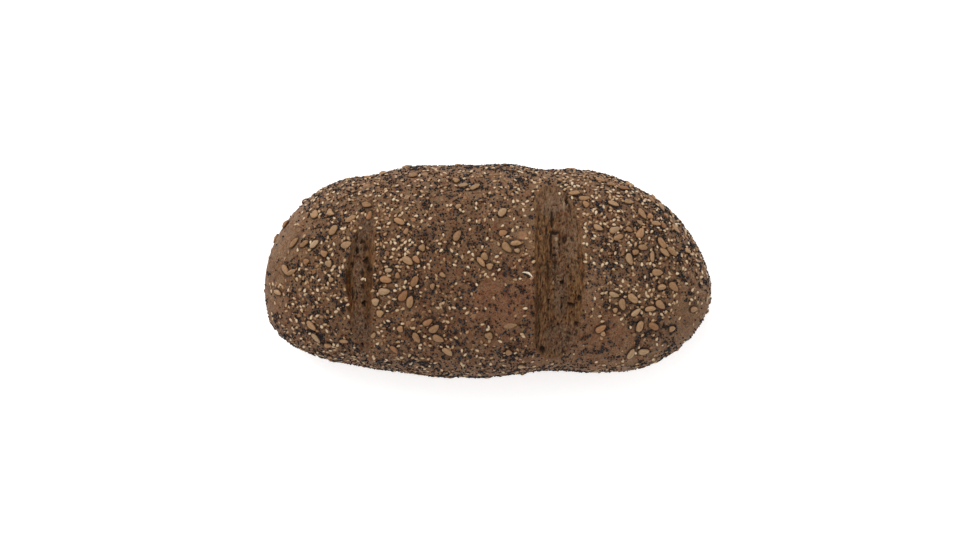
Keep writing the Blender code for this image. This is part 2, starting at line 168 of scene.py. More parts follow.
# Broken kernels and round ones, the same way.
BROKEN_KERNELS = (
    (-112.2, 11.9, 20, 5.2, 4.9), (-124.4, 6.4, 60, 4.8, 4.4), (-109, 5, -30, 5.3, 4.9),
    (-110, -50.9, 10, 5.2, 4.3), (-22, 61.8, 0, 5.2, 4.3), (-56.2, 27, 80, 4.6, 4.3),
    (-45.1, 15.8, -20, 5.0, 4.9), (-20.4, 43.2, 45, 4.2, 4.0), (-68.1, 0.6, 15, 5.2, 3.9),
    (-61.9, -3.2, -40, 4.4, 3.8), (-77, -21.2, -15, 6.0, 5.4), (-74, -29, 60, 5.4, 5.0),
    (-60, -39.1, 10, 5.2, 4.8), (-78.6, -44.1, 70, 4.3, 3.6), (1.1, 3.1, -10, 5.4, 4.4),
    (0.7, -44.5, -25, 6.2, 5.2), (19.8, 13.9, 45, 3.9, 3.6), (23, -65.3, 0, 5.4, 4.6),
    (67, 46.1, 0, 5.0, 4.6), (113.4, 50.2, -45, 6.4, 4.0), (122, 38, 20, 4.8, 4.2),
    (111, 37, 0, 5.0, 4.4), (120, 31, -30, 5.0, 4.2), (100.9, 13, 30, 5.0, 4.7),
    (137, 14, -10, 5.2, 4.8), (86.9, -26.9, 0, 4.0, 3.5), (78.9, -42.6, 30, 4.0, 3.7),
    (126, -38.9, 45, 5.0, 4.8), (96.5, 28, -20, 5.0, 4.2), (-107.4, -5.8, 80, 4.2, 3.4),
    (-31.1, -2.6, -20, 4.5, 3.8), (-38.2, -10.2, 80, 4.7, 3.3), (-108.6, -59.3, 0, 4.0, 3.2),
)  # fmt: skip

# Kernels low on the sides are of this length and width. Every kernel has this thickness, uneven by
# the spread, and stands proud of the crust by a share of it.
SIDE_LENGTH = 8.8 * MM
SIDE_WIDTH = 4.3 * MM
THICKNESS = 2.7 * MM
SIZE_SPREAD = 0.14
PROUD_SHARE = 0.58
KERNEL_LIFT = 0.2 * MM  # the dough shrank back under them

# Kernels low on the sides, spread by a rule.
SIDE_KERNELS = 40
SIDE_SPACING = 13 * MM
SIDE_FROM = 11 * MM  # heights between which they lie, under the widest line
SIDE_TO = 32 * MM
SIDE_SPAN = (0.06, 0.94)  # shares of the way from tip to tip
SIDE_ANGLES = (-0.8, 0)  # below the girth
SIDE_SLANT = 2.0  # how far they may point away from the loaf's length
KERNEL_DRAWS = 11  # starts the random draws of the kernels' places and sizes


def towards_tip(x):
    """The share of the way from the loaf's middle to its tip, below 0 towards the blunt end."""
    return np.clip(x / (LENGTH / 2), -1, 1)


def taper(t, end):
    """The share of its full size that a section keeps at t, which is 1 at the middle."""
    power, root = end
    return np.clip(1 - np.abs(t) ** power, 0, None) ** root


def bow(t, end):
    """How far the loaf bows towards -Y at t."""
    reach, start, power = end
    return reach * (np.clip(np.abs(t) - start, 0, None) / (1 - start)) ** power


def by_end(law, x, blunt, pointed):
    """What a law gives at x, by the blunt end's values on its side and the pointed end's on the other."""
    t = towards_tip(x)
    return np.where(t < 0, law(t, blunt), law(t, pointed))


def plan_share(x):
    """The share of the full width that the plan has at x."""
    return by_end(taper, x, BLUNT_END, POINTED_END)


def section_middle(x):
    """Y of the middle of the section at x."""
    return -by_end(bow, x, BLUNT_BOW, POINTED_BOW)


def draw_in(x, towards_front):
    """How far the outline draws in beside the cuts."""
    total = 0
    for waist in WAISTS:
        away = x - waist.place
        fade = np.exp(-((away / np.where(away < 0, waist.left, waist.right)) ** 2))
        total = total + fade * np.where(towards_front, waist.front, waist.rear)
    return total


def cut_plan(cut, v):
    """X of a cut's crease, and how far its left and right walls reach from it, at v along it."""
    crease = cut.crease + cut.lean * v + cut.bow * v * v
    left = cut.left * np.sqrt(1 - np.abs(v) ** cut.left_power)
    right = cut.right * np.sqrt(1 - v * v)
    return crease, left, right


def across_cut(cut, x, y):
    """Where a place in plan lies in a cut: (v along it, u across it, how far inside its plain outline)."""
    v = np.clip((y - cut.middle) / cut.half_span, -1, 1)
    crease, left, right = cut_plan(cut, v)
    away = x - crease
    reach = np.maximum(np.where(away < 0, left, right), LEAST_REACH)
    return v, away / reach, reach - np.abs(away)


def cut_depth(cut, x, y):
    """How deep the crumb lies under the crust in a cut."""
    v, u, _ = across_cut(cut, x, y)
    wall_power, wall_root = WALL_CURVE
    side = np.clip(np.abs(u), 0, 1)
    return cut.depth * (1 - np.abs(v) ** CUT_END_POWER) * (1 - side**wall_power) ** wall_root


def swell(x, angle):
    """The crust's long low unevenness."""
    total = 0
    for relief, wavelength, turns, phase in SWELLS:
        along = np.sin(2 * math.pi * x / wavelength + phase)
        total = total + relief * along * np.cos(turns * angle + 2 * phase)
    return total


def soft_floor(z):
    """The base is flat at 0, and the crust turns into it on a small curve."""
    turn = (z + BASE_ROUNDING) ** 2 / (4 * BASE_ROUNDING)
    return np.where(z < -BASE_ROUNDING, 0, np.where(z < BASE_ROUNDING, turn, z))


def filled_out(part, angle):
    """The sine or cosine of a section's angle, filled out from a circle to the loaf's superellipse."""
    power = np.where(np.sin(angle) >= 0, 2 / CROWN_POWER, 2 / TUCK_POWER)
    return np.sign(part) * np.abs(part) ** power


def plan_y(x, angle):
    """Y of the plain crust."""
    across = np.cos(angle)
    half = (WIDTH / 2 - draw_in(x, across < 0)) * plan_share(x)
    return section_middle(x) + half * filled_out(across, angle)


def skin(x, angle, out=0.0):
    """Points of the crust, an array with X, Y and Z last, moved outwards by out.

    The angle starts at the +Y side and turns up over the top.
    """
    above = np.sin(angle)
    crest = (HEIGHT - GIRTH_HEIGHT) * by_end(taper, x, BLUNT_CREST, POINTED_CREST)
    keel = KEEL_DEPTH * GIRTH_HEIGHT * taper(towards_tip(x), KEEL_END)
    rise = np.where(above >= 0, crest, keel) * filled_out(above, angle)
    middle = section_middle(x)
    side = plan_y(x, angle) - middle
    out = out + swell(x, angle) * plan_share(x)
    grow = 1 + out / np.maximum(np.hypot(side, rise), LEAST_RADIUS)
    z = GIRTH_HEIGHT + rise * grow
    return np.stack([x + 0 * z, middle + side * grow, soft_floor(z)], axis=-1)


def angle_above(x, y):
    """The section angle of the crust's upper side at a place in plan."""
    offset = y - section_middle(x)
    half = np.maximum((WIDTH / 2 - draw_in(x, offset < 0)) * plan_share(x), 1e-6)
    share = np.clip(offset / half, -0.999, 0.999)
    return np.arccos(np.sign(share) * np.abs(share) ** (CROWN_POWER / 2))


# ---- Fine relief of the crust and the crumb ----


def noise_at(points, pitch, shift=0.0):
    """Smooth noise from -1 to 1 at each point, with features about pitch across.

    A shift takes it from another part of the same noise.
    """
    scaled = np.asarray(points, float) / pitch + shift
    flat = scaled.reshape(-1, 3)
    values = np.array([noise.noise(p) for p in flat.tolist()])
    return values.reshape(scaled.shape[:-1])


def rising(value, over):
    """0 for a value of 0 or less, rising to 1 at over and more."""
    return np.clip(value / over, 0, 1)


class PlanNoise(NamedTuple):
    """Noise over the plan: its size, how long its features are along X and Y, and its shift."""

    size: float
    along_x: float
    along_y: float
    shift: float = 0.0

    def at(self, x, y):
        """The noise at a place in plan, from -size to size."""
        places = np.stack([x / self.along_x, y / self.along_y, 0 * x], axis=-1)
        return self.size * noise_at(places, 1.0, self.shift)

    def ridges(self, x, y):
        """The same noise folded up into sharp ridges, half the size high."""
        return self.size / 2 - 2 * np.abs(self.at(x, y))


CRUST_BLISTERS = ((0.35 * MM, 11 * MM, 0.0), (0.3 * MM, 3.8 * MM, 5.1))  # relief, pitch and shift
TUCK = 3.5 * MM  # inside a cut the crust runs on this far below the crumb, out of sight
CRUMB_RISE = 0.25 * MM  # the crumb swells this far over the crust where they meet

# The cuts' torn edges: pitch and reach of their raggedness, and how far apart two edges are that tear in
# their own ways, each with its own shift of the noise.
RAGS = ((7 * MM, 0.9 * MM), (2.2 * MM, 0.45 * MM))
EDGES_APART = 12 * MM
EDGE_SHIFT = 7.3
RAG_SHIFT = 3.7
# Where a torn edge stands out from the cut's plain outline: X and Y of the middle, reach along Y and
# how far it does, all in mm.
EDGE_BULGES = ((34, -50, 9, 3.0), (58, -46, 8, 2.5), (35, 50, 8, 2.5))
BULGE_ACROSS = 12  # how far across the cut a bulge reaches, in mm

# Strands of crumb wander along the cut, in broad and thin ridges, with lumps and grains on them.
STRAND_WANDER = PlanNoise(1.6 * MM, 5 * MM, 8 * MM, 2.0)
BROAD_STRANDS = PlanNoise(0.6 * MM, 2.6 * MM, 8 * MM)
THIN_STRANDS = PlanNoise(0.45 * MM, 1.3 * MM, 3.2 * MM, 4.0)
CRUMB_LUMPS = PlanNoise(1.0 * MM, 1.6 * MM, 2.0 * MM, 9.0)
CRUMB_GRAINS = PlanNoise(0.4 * MM, 0.9 * MM, 1.2 * MM, 16.0)
# How far the crumb is drawn out in strands, at some places from the left wall, -1, to the right one, 1.
DRAWN_OUT = ((-0.6111, 0.2222, 0.65, 0.95), (1, 0.25, 0.25, 1))
LUMPS_WHERE_NOT_DRAWN = 1.15

FINE_PORES = PlanNoise(1, 1.1 * MM, 1.7 * MM, 21.0)
COARSE_PORES = PlanNoise(0.6, 2.8 * MM, 4.4 * MM, 23.0)
PORES_OPEN = (0.3, 0.5)  # levels of that noise at which a pore starts and is full
PIT_WANDER_X = PlanNoise(1.2 * MM, 2.1 * MM, 2.1 * MM, 6.0)  # how ragged the torn holes are
PIT_WANDER_Y = PlanNoise(1.6 * MM, 2.1 * MM, 2.1 * MM, 8.0)
TEAR_WANDER = PlanNoise(0.8 * MM, 3 * MM, 4 * MM, 17.0)
TEAR_TAPER = (0.4, 1.2)  # share of a tear's width at its ends, and how fast it gains from there

# Holes torn in the crumb: X, Y, length along Y, width along X and depth, all in mm.
PITS = (
    (54, 49.3, 3.2, 2.6, 2.6), (53.3, 43, 1.6, 2.8, 1.3), (46, 29, 1.9, 6.0, 1.9),
    (45.8, 12.8, 3.4, 2.4, 2.2), (50.8, -8.6, 4.2, 2.6, 2.2), (56.8, -24.8, 3.0, 4.4, 2.2),
    (61.6, -37.2, 3.6, 5.0, 2.6), (37, -55, 3.4, 3.6, 2.4), (52, 23.8, 6.4, 2.6, 1.4),
    (57.7, 23.2, 2.6, 1.8, 1.3), (58.8, 38, 1.8, 1.4, 1.2), (60, 14, 2.0, 2.0, 1.3),
    (55, 3.4, 2.8, 1.8, 1.3), (57.8, 6.5, 4.0, 1.2, 1.1), (62.5, 9.5, 2.2, 1.4, 1.1),
    (44.5, -14.8, 2.2, 1.4, 1.3), (46, -4, 9.0, 1.0, 0.8), (41.4, -24, 5.0, 1.3, 1.4),
    (34.4, -27.5, 6.0, 1.2, 1.0), (56, -44.2, 2.8, 1.9, 1.4), (55, -48, 2.0, 1.9, 1.3),
    (62, -19.5, 4.0, 2.4, 1.6), (60, -17.5, 5.0, 1.0, 1.2), (48, -39.6, 3.0, 1.6, 1.3),
    (43.4, -38.3, 3.0, 1.6, 1.3), (44.3, -43, 3.0, 1.3, 1.1), (33.2, -52, 4.0, 1.1, 1.2),
    (35.2, 51.6, 1.8, 1.6, 1.2), (43.4, 54.6, 1.6, 1.6, 1.1), (40, 30, 8.0, 1.0, 0.9),
    (-86, 22, 3.4, 4.4, 1.8), (-89.5, 16, 5.6, 2.2, 2.4), (-84, 17, 5.0, 2.8, 1.4),
    (-83.5, 8, 4.4, 3.0, 2.2), (-92.8, 5, 3.8, 1.8, 2.0), (-81, 1, 3.6, 3.6, 1.8),
    (-85, -24, 3.8, 2.4, 2.8), (-87, -51.5, 3.2, 2.8, 2.4), (-92.7, -18, 11.0, 1.2, 1.4),
    (-90, -17, 9.0, 1.0, 1.2), (-86, -2, 8.0, 1.3, 1.2), (-89.8, 24, 6.0, 1.6, 1.5),
    (-86, -12, 7.0, 2.0, 1.0), (-84, -40, 6.0, 1.4, 0.8),
)  # fmt: skip

# Tears in the crumb, and creases in the crust: X and Y of both ends, width and depth, all in mm.
TEARS = (
    (43.7, 43, 43.6, 33, 1.9, 1.7), (43.2, 29, 43, 13.5, 1.7, 1.5), (49, 29, 49, 18, 1.4, 1.2),
    (44, 19, 49, 16.6, 1.2, 0.8), (45.8, 11, 46, 1, 2.2, 1.2), (45.5, -3, 45.6, -22, 1.2, 0.7),
    (58.9, -50.6, 54.8, -54.8, 1.7, 1.6), (54.8, -54.8, 50.6, -55.9, 1.7, 1.4),
    (34, -9, 35, -46, 1.2, 0.7), (60.5, 38, 62, 28, 1.2, 0.8), (64.5, 12, 64.8, 5, 1.0, 0.7),
    (38.5, 46, 38.8, 34, 1.1, 0.7), (34.5, 24, 34.7, 14, 1.0, 0.7), (41, 12, 40.6, -12, 1.1, 0.7),
    (55.5, 47, 57.5, 36, 1.2, 0.7), (57, -2, 56.6, -10, 1.2, 0.8), (50.4, -20, 50.2, -33, 1.2, 0.9),
)  # fmt: skip
CREASES = (
    (-47.5, 48.3, -37, 51.8, 1.4, 0.5), (-37, 51.8, -29.7, 54.8, 1.4, 0.5),
    (-35.9, 57.3, -24.8, 58, 1.6, 0.5), (-30.4, 52.6, -21.7, 50.4, 1.4, 0.5),
    (-14, 47, -5, 44, 1.3, 0.4), (70, 44, 79, 39, 1.3, 0.4),
)  # fmt: skip


def crust_relief(points):
    """Blisters, dents and fine wrinkles of the crust."""
    return sum(relief * noise_at(points, pitch, shift) for relief, pitch, shift in CRUST_BLISTERS)


def torn(x, y):
    """How far a cut's edge wanders out from its plain outline."""
    edge = np.round(x / EDGES_APART) * EDGE_SHIFT
    total = 0
    for pitch, reach in RAGS:
        total = total + reach * noise_at(np.stack([edge, y / pitch, 0 * x], axis=-1), 1.0, RAG_SHIFT)
    for bulge_x, bulge_y, reach, far in EDGE_BULGES:
        near = ((x / MM - bulge_x) / BULGE_ACROSS) ** 4 + ((y / MM - bulge_y) / reach) ** 2
        total = total + far * MM * np.exp(-near)
    return total


def in_cuts(x, y):
    """How far inside a cut's torn outline a place in plan lies, in metres, below 0 outside."""
    inside = np.full(np.shape(x), -1.0)
    for cut in CUTS:
        _, _, depth = across_cut(cut, x, y)
        ends = cut.half_span - np.abs(y - cut.middle)
        inside = np.maximum(inside, np.minimum(depth + torn(x, y), ends))
    return inside


def crumb_relief(x, y, u):
    """Torn strands of crumb, drawn out along the cut at both walls, and lumpy between them."""
    along = x + STRAND_WANDER.at(x, y)
    strands = BROAD_STRANDS.ridges(along, y) + THIN_STRANDS.ridges(along, y)
    drawn = np.interp(u, *DRAWN_OUT)
    lumps = (LUMPS_WHERE_NOT_DRAWN - drawn) * CRUMB_LUMPS.at(x, y)
    return strands * drawn + lumps + CRUMB_GRAINS.at(x, y)


def pores(x, y):
    """From 0 to 1, how open the small pores of the crumb are at a place in plan."""
    return np.interp(FINE_PORES.at(x, y) + COARSE_PORES.at(x, y), PORES_OPEN, (0, 1))


def pit_depth(x, y):
    """Depth of the torn holes at a place in plan."""
    x = x + PIT_WANDER_X.at(x, y)
    y = y + PIT_WANDER_Y.at(x, y)
    total = 0
    for pit_x, pit_y, long, wide, deep in PITS:
        off = ((x / MM - pit_x) / (wide / 2)) ** 2 + ((y / MM - pit_y) / (long / 2)) ** 2
        total = np.maximum(total, deep * MM * np.exp(-(off**2)))
    return total


def tear_depth(tears, x, y):
    """Depth of long thin tears at a place in plan."""
    x = (x + TEAR_WANDER.at(x, y)) / MM
    y = y / MM
    narrow, gain = TEAR_TAPER
    total = 0
    for from_x, from_y, to_x, to_y, wide, deep in tears:
        run_x, run_y = to_x - from_x, to_y - from_y
        share = ((x - from_x) * run_x + (y - from_y) * run_y) / (run_x**2 + run_y**2)
        share = np.clip(share, 0, 1)
        reach = wide / 2 * (narrow + gain * np.sqrt(share * (1 - share)))
        away = np.hypot(x - from_x - share * run_x, y - from_y - share * run_y) / reach
        total = np.maximum(total, deep * MM * np.exp(-(away**2)))
    return total


# ---- Colours and materials ----
MIX_SHARE, MIX_UNDER, MIX_OVER = 0, 6, 7  # places among a colour mix's inputs
MIX_RESULT = 2  # and among its outputs
BREAD_IOR = 1.45


def linear(colour):
    """A colour written as an sRGB hex value, in linear light."""
    channels = [int(colour[i : i + 2], 16) / 255 for i in (1, 3, 5)]
    turned = [c / 12.92 if c <= 0.04045 else ((c + 0.055) / 1.055) ** 2.4 for c in channels]
    return (*turned, 1.0)


def add_node(tree, kind, settings, output=0):
    """Adds a node and gives one of its outputs.

    Each setting is a property of the node, the value of an input or the output that feeds it. Colours
    are sRGB hex values, and the stops of a ramp are pairs of a position and a colour.
    """
    node = tree.nodes.new("ShaderNode" + kind)
    for key, value in settings.items():
        if key == "stops":
            while len(node.color_ramp.elements) < len(value):
                node.color_ramp.elements.new(0.5)
            for element, (position, colour) in zip(node.color_ramp.elements, value, strict=True):
                element.position = position
                element.color = linear(colour)
        elif isinstance(value, bpy.types.NodeSocket):
            tree.links.new(value, node.inputs[key])
        elif isinstance(key, int) or key in node.inputs:
            node.inputs[key].default_value = linear(value) if isinstance(value, str) else value
        else:
            setattr(node, key, value)
    return node.outputs[output]


class Grain(NamedTuple):
    """Noise in a material: the size of its features in mm, its fineness, its roughness and its twist."""

    size: float
    fineness: float = 4
    roughness: float = 0.6
    twist: float = 0.0

    def at(self, place):
        """Settings of the noise, read at a place."""
        settings = {"Scale": 1 / (self.size * MM), "Detail": self.fineness, "Roughness": self.roughness}
        return {**settings, "Distortion": self.twist, "Vector": place}


def mottled(tree, place, grain, stops):
    """Spots of colour: a grain's noise turned to colours at the stops."""
    spots = add_node(tree, "TexNoise", grain.at(place))
    return add_node(tree, "ValToRGB", {"Fac": spots, "stops": stops})


def painted(tree, colour, coats):
    """A colour with coats laid over it: (where, colour, how).

    Where is one of the piece's own attributes, by its name, or a share from 0 to 1.
    """
    for where, coat, how in coats:
        if isinstance(where, str):
            where = add_node(tree, "Attribute", {"attribute_name": where}, "Fac")
        mix = {"data_type": "RGBA", "blend_type": how, MIX_SHARE: where, MIX_UNDER: colour, MIX_OVER: coat}
        colour = add_node(tree, "Mix", mix, MIX_RESULT)
    return colour


def new_material(name, roughness, specular):
    """A material with its Principled BSDF, and the tree and shader to build on."""
    material = bpy.data.materials.new(name)
    material.use_nodes = True
    shader = material.node_tree.nodes["Principled BSDF"]
    shader.inputs["Roughness"].default_value = roughness
    shader.inputs["IOR"].default_value = BREAD_IOR
    shader.inputs["Specular IOR Level"].default_value = specular
    return material, material.node_tree, shader


def roughen(tree, shader, heights, strength, distance):
    """Gives a shader fine bumps: the sum of some noises, times the distance that 1 stands for."""
    height = heights[0]
    for other in heights[1:]:
        height = add_node(tree, "Math", {"operation": "ADD", 0: height, 1: other})
    bump = add_node(tree, "Bump", {"Strength": strength, "Distance": distance, "Height": height})
    tree.links.new(bump, shader.inputs["Normal"])


# The crust's spots: their grain, and their colours from the darkest to the palest.
# The crown's colours are darker and the sides' paler, partly by their browning and partly as painted light:
# shade on the crown, light on the sides.
CROWN = (Grain(7), ((0.3, "#72553e"), (0.5, "#8c6c4f"), (0.7, "#9f7e5f")))
FLANK = (Grain(5), ((0.3, "#82674f"), (0.5, "#99795e"), (0.7, "#ab8a6f")))
CRUST_HUE = (Grain(3.1, 3), ((0.36, "#dfc2ac"), (0.5, "#f2ece4"), (0.64, "#eaeeec")))
CRUST_PORES = (Grain(1.0, 4, 0.7), ((0.31, "#5e5854"), (0.47, "#d4d2d0"), (0.65, "#ffffff")))
SHADE_BETWEEN_SEEDS = "#cfc6c0"  # painted shade: darkens the crust between the poppy seeds where they lie thick
CRUST_BUMPS = (Grain(1.0), Grain(2.6))

# The crumb's: ochre strands at its walls, greyer grains between them.
STRANDS = Grain(1.3, 4, 0.65, 0.5)
STRAND_STOPS = ((0.36, "#3a291a"), (0.5, "#6c5037"), (0.64, "#8d6d4b"))
STRANDS_DRAWN = (1.0, 0.2, 0.55)  # shares of their scale along X, Y and Z, so that they run along Y
GRAINS = Grain(1.1, 4, 0.7, 0.3)
GRAIN_STOPS = ((0.34, "#372a20"), (0.5, "#685242"), (0.66, "#8b715b"))
GRAINS_DRAWN = (1.0, 0.75, 0.9)
CRUMB_HUE = (Grain(2.8, 3), ((0.36, "#e0bda4"), (0.5, "#f4ebe2"), (0.64, "#f0f2ea")))
CRUMB_WALL = "#b0965f"
# Dark red-brown streaks, partly the crumb's own colour and partly painted shade, as under the wide cut's
# torn left lip.
CRUMB_RUST_AND_SHADE = "#3d2412"
CRUMB_PALE = "#a88f74"

# A kernel's tone: what it starts from, and the weights of its own tone, its ribs and its toasting.
KERNEL_BASE_TONE = -0.225
KERNEL_WEIGHTS = (0.27, 0.4, 0.85)
KERNEL_RIBS = {"Scale": 1.6, "Detail": 3}  # read in the kernel's own size, from -0.5 to 0.5
RIBS_DRAWN = (1.2, 5.0, 2.0)
TOASTING = Grain(1.2, 5, 0.7)
KERNEL_HUES = ((0.0, "#ebcbb2"), (0.25, "#f0dfcc"), (0.7, "#f2e6d6"), (1.0, "#f6f5f0"))
HUES_MIXED = 7.0  # how often the hues repeat over the tones, so that the two don't go together
KERNEL_RIM_AND_SHADE = "#5e3d26"
# How the rim's colour fades upwards, in a seed's own size, and how strong it is below: a browner rim, partly
# painted shade low round each kernel and seed where it meets the crust.
KERNEL_RIM_AND_SHADE_FADE = {"From Min": 0.22, "From Max": 0.0, "To Min": 0.0, "To Max": 0.9}
SEED_RIM_AND_SHADE_FADE = {"From Min": 0.34, "From Max": 0.04, "To Min": 0.0, "To Max": 0.75}
TIP_TONE = -0.25  # how much a small seed's tone changes from its blunt end to its tip

KERNEL_STOPS = ((0.1, "#5c432e"), (0.35, "#84684c"), (0.6, "#9b7e60"), (0.9, "#b59b7c"))
FLAKE_STOPS = ((0.1, "#614632"), (0.4, "#7b5f47"), (0.7, "#977a5e"), (1.0, "#c6b49c"))
SESAME_STOPS = ((0.0, "#735233"), (0.25, "#916e4b"), (0.6, "#a98c6a"), (1.0, "#c2ab8c"))
POPPY_STOPS = ((0.0, "#0e0c0d"), (0.6, "#191819"), (0.9, "#2d2c31"), (1.0, "#4c4c53"))
BRAN_STOPS = ((0.0, "#5e3f28"), (0.4, "#7d5a3c"), (0.8, "#957254"), (1.0, "#b08d6c"))
HUSK = (Grain(0.9), ((0.3, "#bfab8c"), (0.6, "#e8dcc5")))


def crust_colour(tree, place):
    """The browned skin: mottled, darker on the crown partly as painted shade, redder where bare, with dark
    pores, and with painted shade between thick seeds, round each kernel and in creases.
    """
    colours = bpy.context.scene.loaf_colours
    coats = (
        ("flank", mottled(tree, place, *FLANK), "MIX"),
        ("red", (*colours.bare, 1.0), "MIX"),
        (1.0, mottled(tree, place, *CRUST_HUE), "MULTIPLY"),
        (1.0, mottled(tree, place, *CRUST_PORES), "MULTIPLY"),
        ("seeded", SHADE_BETWEEN_SEEDS, "MULTIPLY"),
        ("socket", (*colours.socket, 1.0), "MIX"),
    )
    return painted(tree, mottled(tree, place, *CROWN), coats)


def baked_crust():
    """Baked wheat-and-rye crust: dull, mottled, redder where it browned under a bare skin."""
    material, tree, shader = new_material("baked_crust", roughness=0.78, specular=0.25)
    place = add_node(tree, "TexCoord", {}, "Object")
    tree.links.new(crust_colour(tree, place), shader.inputs["Base Color"])
    bumps = [add_node(tree, "TexNoise", grain.at(place)) for grain in CRUST_BUMPS]
    roughen(tree, shader, bumps, strength=1.0, distance=0.9 * MM)
    return material


def torn_crumb():
    """Crumb torn open in the oven and dried: granular, drawn out along the cut, ochre at its walls, with
    painted shade in its holes and hollows and along a torn lip.
    """
    material, tree, shader = new_material("torn_crumb", roughness=0.88, specular=0.15)
    place = add_node(tree, "TexCoord", {}, "Object")
    drawn = add_node(tree, "Mapping", {"Scale": STRANDS_DRAWN, "Vector": place})
    strands = add_node(tree, "TexNoise", STRANDS.at(drawn))
    drawn_less = add_node(tree, "Mapping", {"Scale": GRAINS_DRAWN, "Vector": place})
    grains = add_node(tree, "TexNoise", GRAINS.at(drawn_less))
    ochre = add_node(tree, "ValToRGB", {"Fac": strands, "stops": STRAND_STOPS})
    grey = add_node(tree, "ValToRGB", {"Fac": grains, "stops": GRAIN_STOPS})
    coats = (
        ("grey", grey, "MIX"),
        (1.0, mottled(tree, drawn_less, *CRUMB_HUE), "MULTIPLY"),
        ("wall", CRUMB_WALL, "MULTIPLY"),
        ("rust", CRUMB_RUST_AND_SHADE, "MIX"),
        ("pale", CRUMB_PALE, "MIX"),
        ("skin", crust_colour(tree, place), "MIX"),
        ("hollow", (*bpy.context.scene.loaf_colours.hollow, 1.0), "MIX"),
    )
    tree.links.new(painted(tree, ochre, coats), shader.inputs["Base Color"])
    roughen(tree, shader, (strands, grains), strength=0.9, distance=0.6 * MM)
    return material


def hulled_kernel(name, stops):
    """Hulled sunflower kernel or flake of grain, toasted: matt tan, browner at its rim, partly as painted
    shade low round its edge, faintly ribbed.
    """
    material, tree, shader = new_material(name, roughness=0.6, specular=0.3)
    place = add_node(tree, "TexCoord", {}, "Object")
    own = add_node(tree, "Attribute", {"attribute_name": "own"}, "Vector")
    tone = add_node(tree, "Attribute", {"attribute_name": "tone"}, "Fac")
    along = add_node(tree, "Mapping", {"Scale": RIBS_DRAWN, "Vector": own})
    ribs = add_node(tree, "TexNoise", {**KERNEL_RIBS, "Vector": along})
    toasting = add_node(tree, "TexNoise", TOASTING.at(place))
    shade = KERNEL_BASE_TONE
    for weight, source in zip(KERNEL_WEIGHTS, (tone, ribs, toasting), strict=True):
        shade = add_node(tree, "Math", {"operation": "MULTIPLY_ADD", 0: source, 1: weight, 2: shade})
    repeated = add_node(tree, "Math", {"operation": "MULTIPLY", 0: tone, 1: HUES_MIXED})
    hue = add_node(tree, "Math", {"operation": "FRACT", 0: repeated})
    up = add_node(tree, "SeparateXYZ", {"Vector": own}, "Z")
    coats = (
        (1.0, add_node(tree, "ValToRGB", {"Fac": hue, "stops": KERNEL_HUES}), "MULTIPLY"),
        (add_node(tree, "MapRange", {**KERNEL_RIM_AND_SHADE_FADE, "Value": up}), KERNEL_RIM_AND_SHADE, "MIX"),
    )
    colour = painted(tree, add_node(tree, "ValToRGB", {"Fac": shade, "stops": stops}), coats)
    tree.links.new(colour, shader.inputs["Base Color"])
    roughen(tree, shader, (toasting,), strength=0.7, distance=0.5 * MM)
    return material


def small_seed(name, stops, rim, roughness, specular):
    """A small seed's coat, each seed with its own tone, browner towards its tip, and darker at its rim,
    partly as painted shade low round its edge.
    """
    material, tree, shader = new_material(name, roughness, specular)
    own = add_node(tree, "Attribute", {"attribute_name": "own"}, "Vector")
    tone = add_node(tree, "Attribute", {"attribute_name": "tone"}, "Fac")
    along = add_node(tree, "SeparateXYZ", {"Vector": own}, "X")
    up = along.node.outputs["Z"]
    shade = add_node(tree, "Math", {"operation": "MULTIPLY_ADD", 0: along, 1: TIP_TONE, 2: tone})
    low = add_node(tree, "MapRange", {**SEED_RIM_AND_SHADE_FADE, "Value": up})
    colour = add_node(tree, "ValToRGB", {"Fac": shade, "stops": stops})
    tree.links.new(painted(tree, colour, ((low, rim, "MIX"),)), shader.inputs["Base Color"])
    return material


def dry_husk():
    """Dried oat husk, thin and nearly white."""
    material, tree, shader = new_material("dry_husk", roughness=0.7, specular=0.3)
    place = add_node(tree, "TexCoord", {}, "Object")
    tree.links.new(mottled(tree, place, *HUSK), shader.inputs["Base Color"])
    return material


# ---- Making pieces ----


def mesh_of(bm, name):
    """A new mesh made of a bmesh, which is freed."""
    mesh = bpy.data.meshes.new(name)
    bm.to_mesh(mesh)
    bm.free()
    return mesh


def read_points(mesh):
    """A mesh's points, one a row."""
    co = np.empty(len(mesh.vertices) * 3, np.float32)
    mesh.vertices.foreach_get("co", co)
    return co.reshape(-1, 3).astype(float)


def move_points(mesh, points):
    """Puts a mesh's points in new places."""
    mesh.vertices.foreach_set("co", points.astype(np.float32).ravel())


def finish_piece(mesh, name, material, attributes=None):
    """Links a mesh as a piece that rides on the loaf's body and stands for its solid."""
    for key, values in (attributes or {}).items():
        kind = "FLOAT_VECTOR" if values.ndim == 2 else "FLOAT"
        layer = mesh.attributes.new(key, kind, "POINT")
        field = "vector" if values.ndim == 2 else "value"
        layer.data.foreach_set(field, values.astype(np.float32).ravel())
    mesh.materials.append(material)
    mesh.shade_smooth()
    piece = bpy.data.objects.new(name, mesh)
    bpy.context.scene.collection.objects.link(piece)
    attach(piece, "root")
    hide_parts("loaf")
    return piece


def thicken(piece, thickness):
    """Gives an open sheet a thickness, on its inner side."""
    wall = piece.modifiers.new("thickness", "SOLIDIFY")
    wall.thickness = thickness
    wall.offset = -1


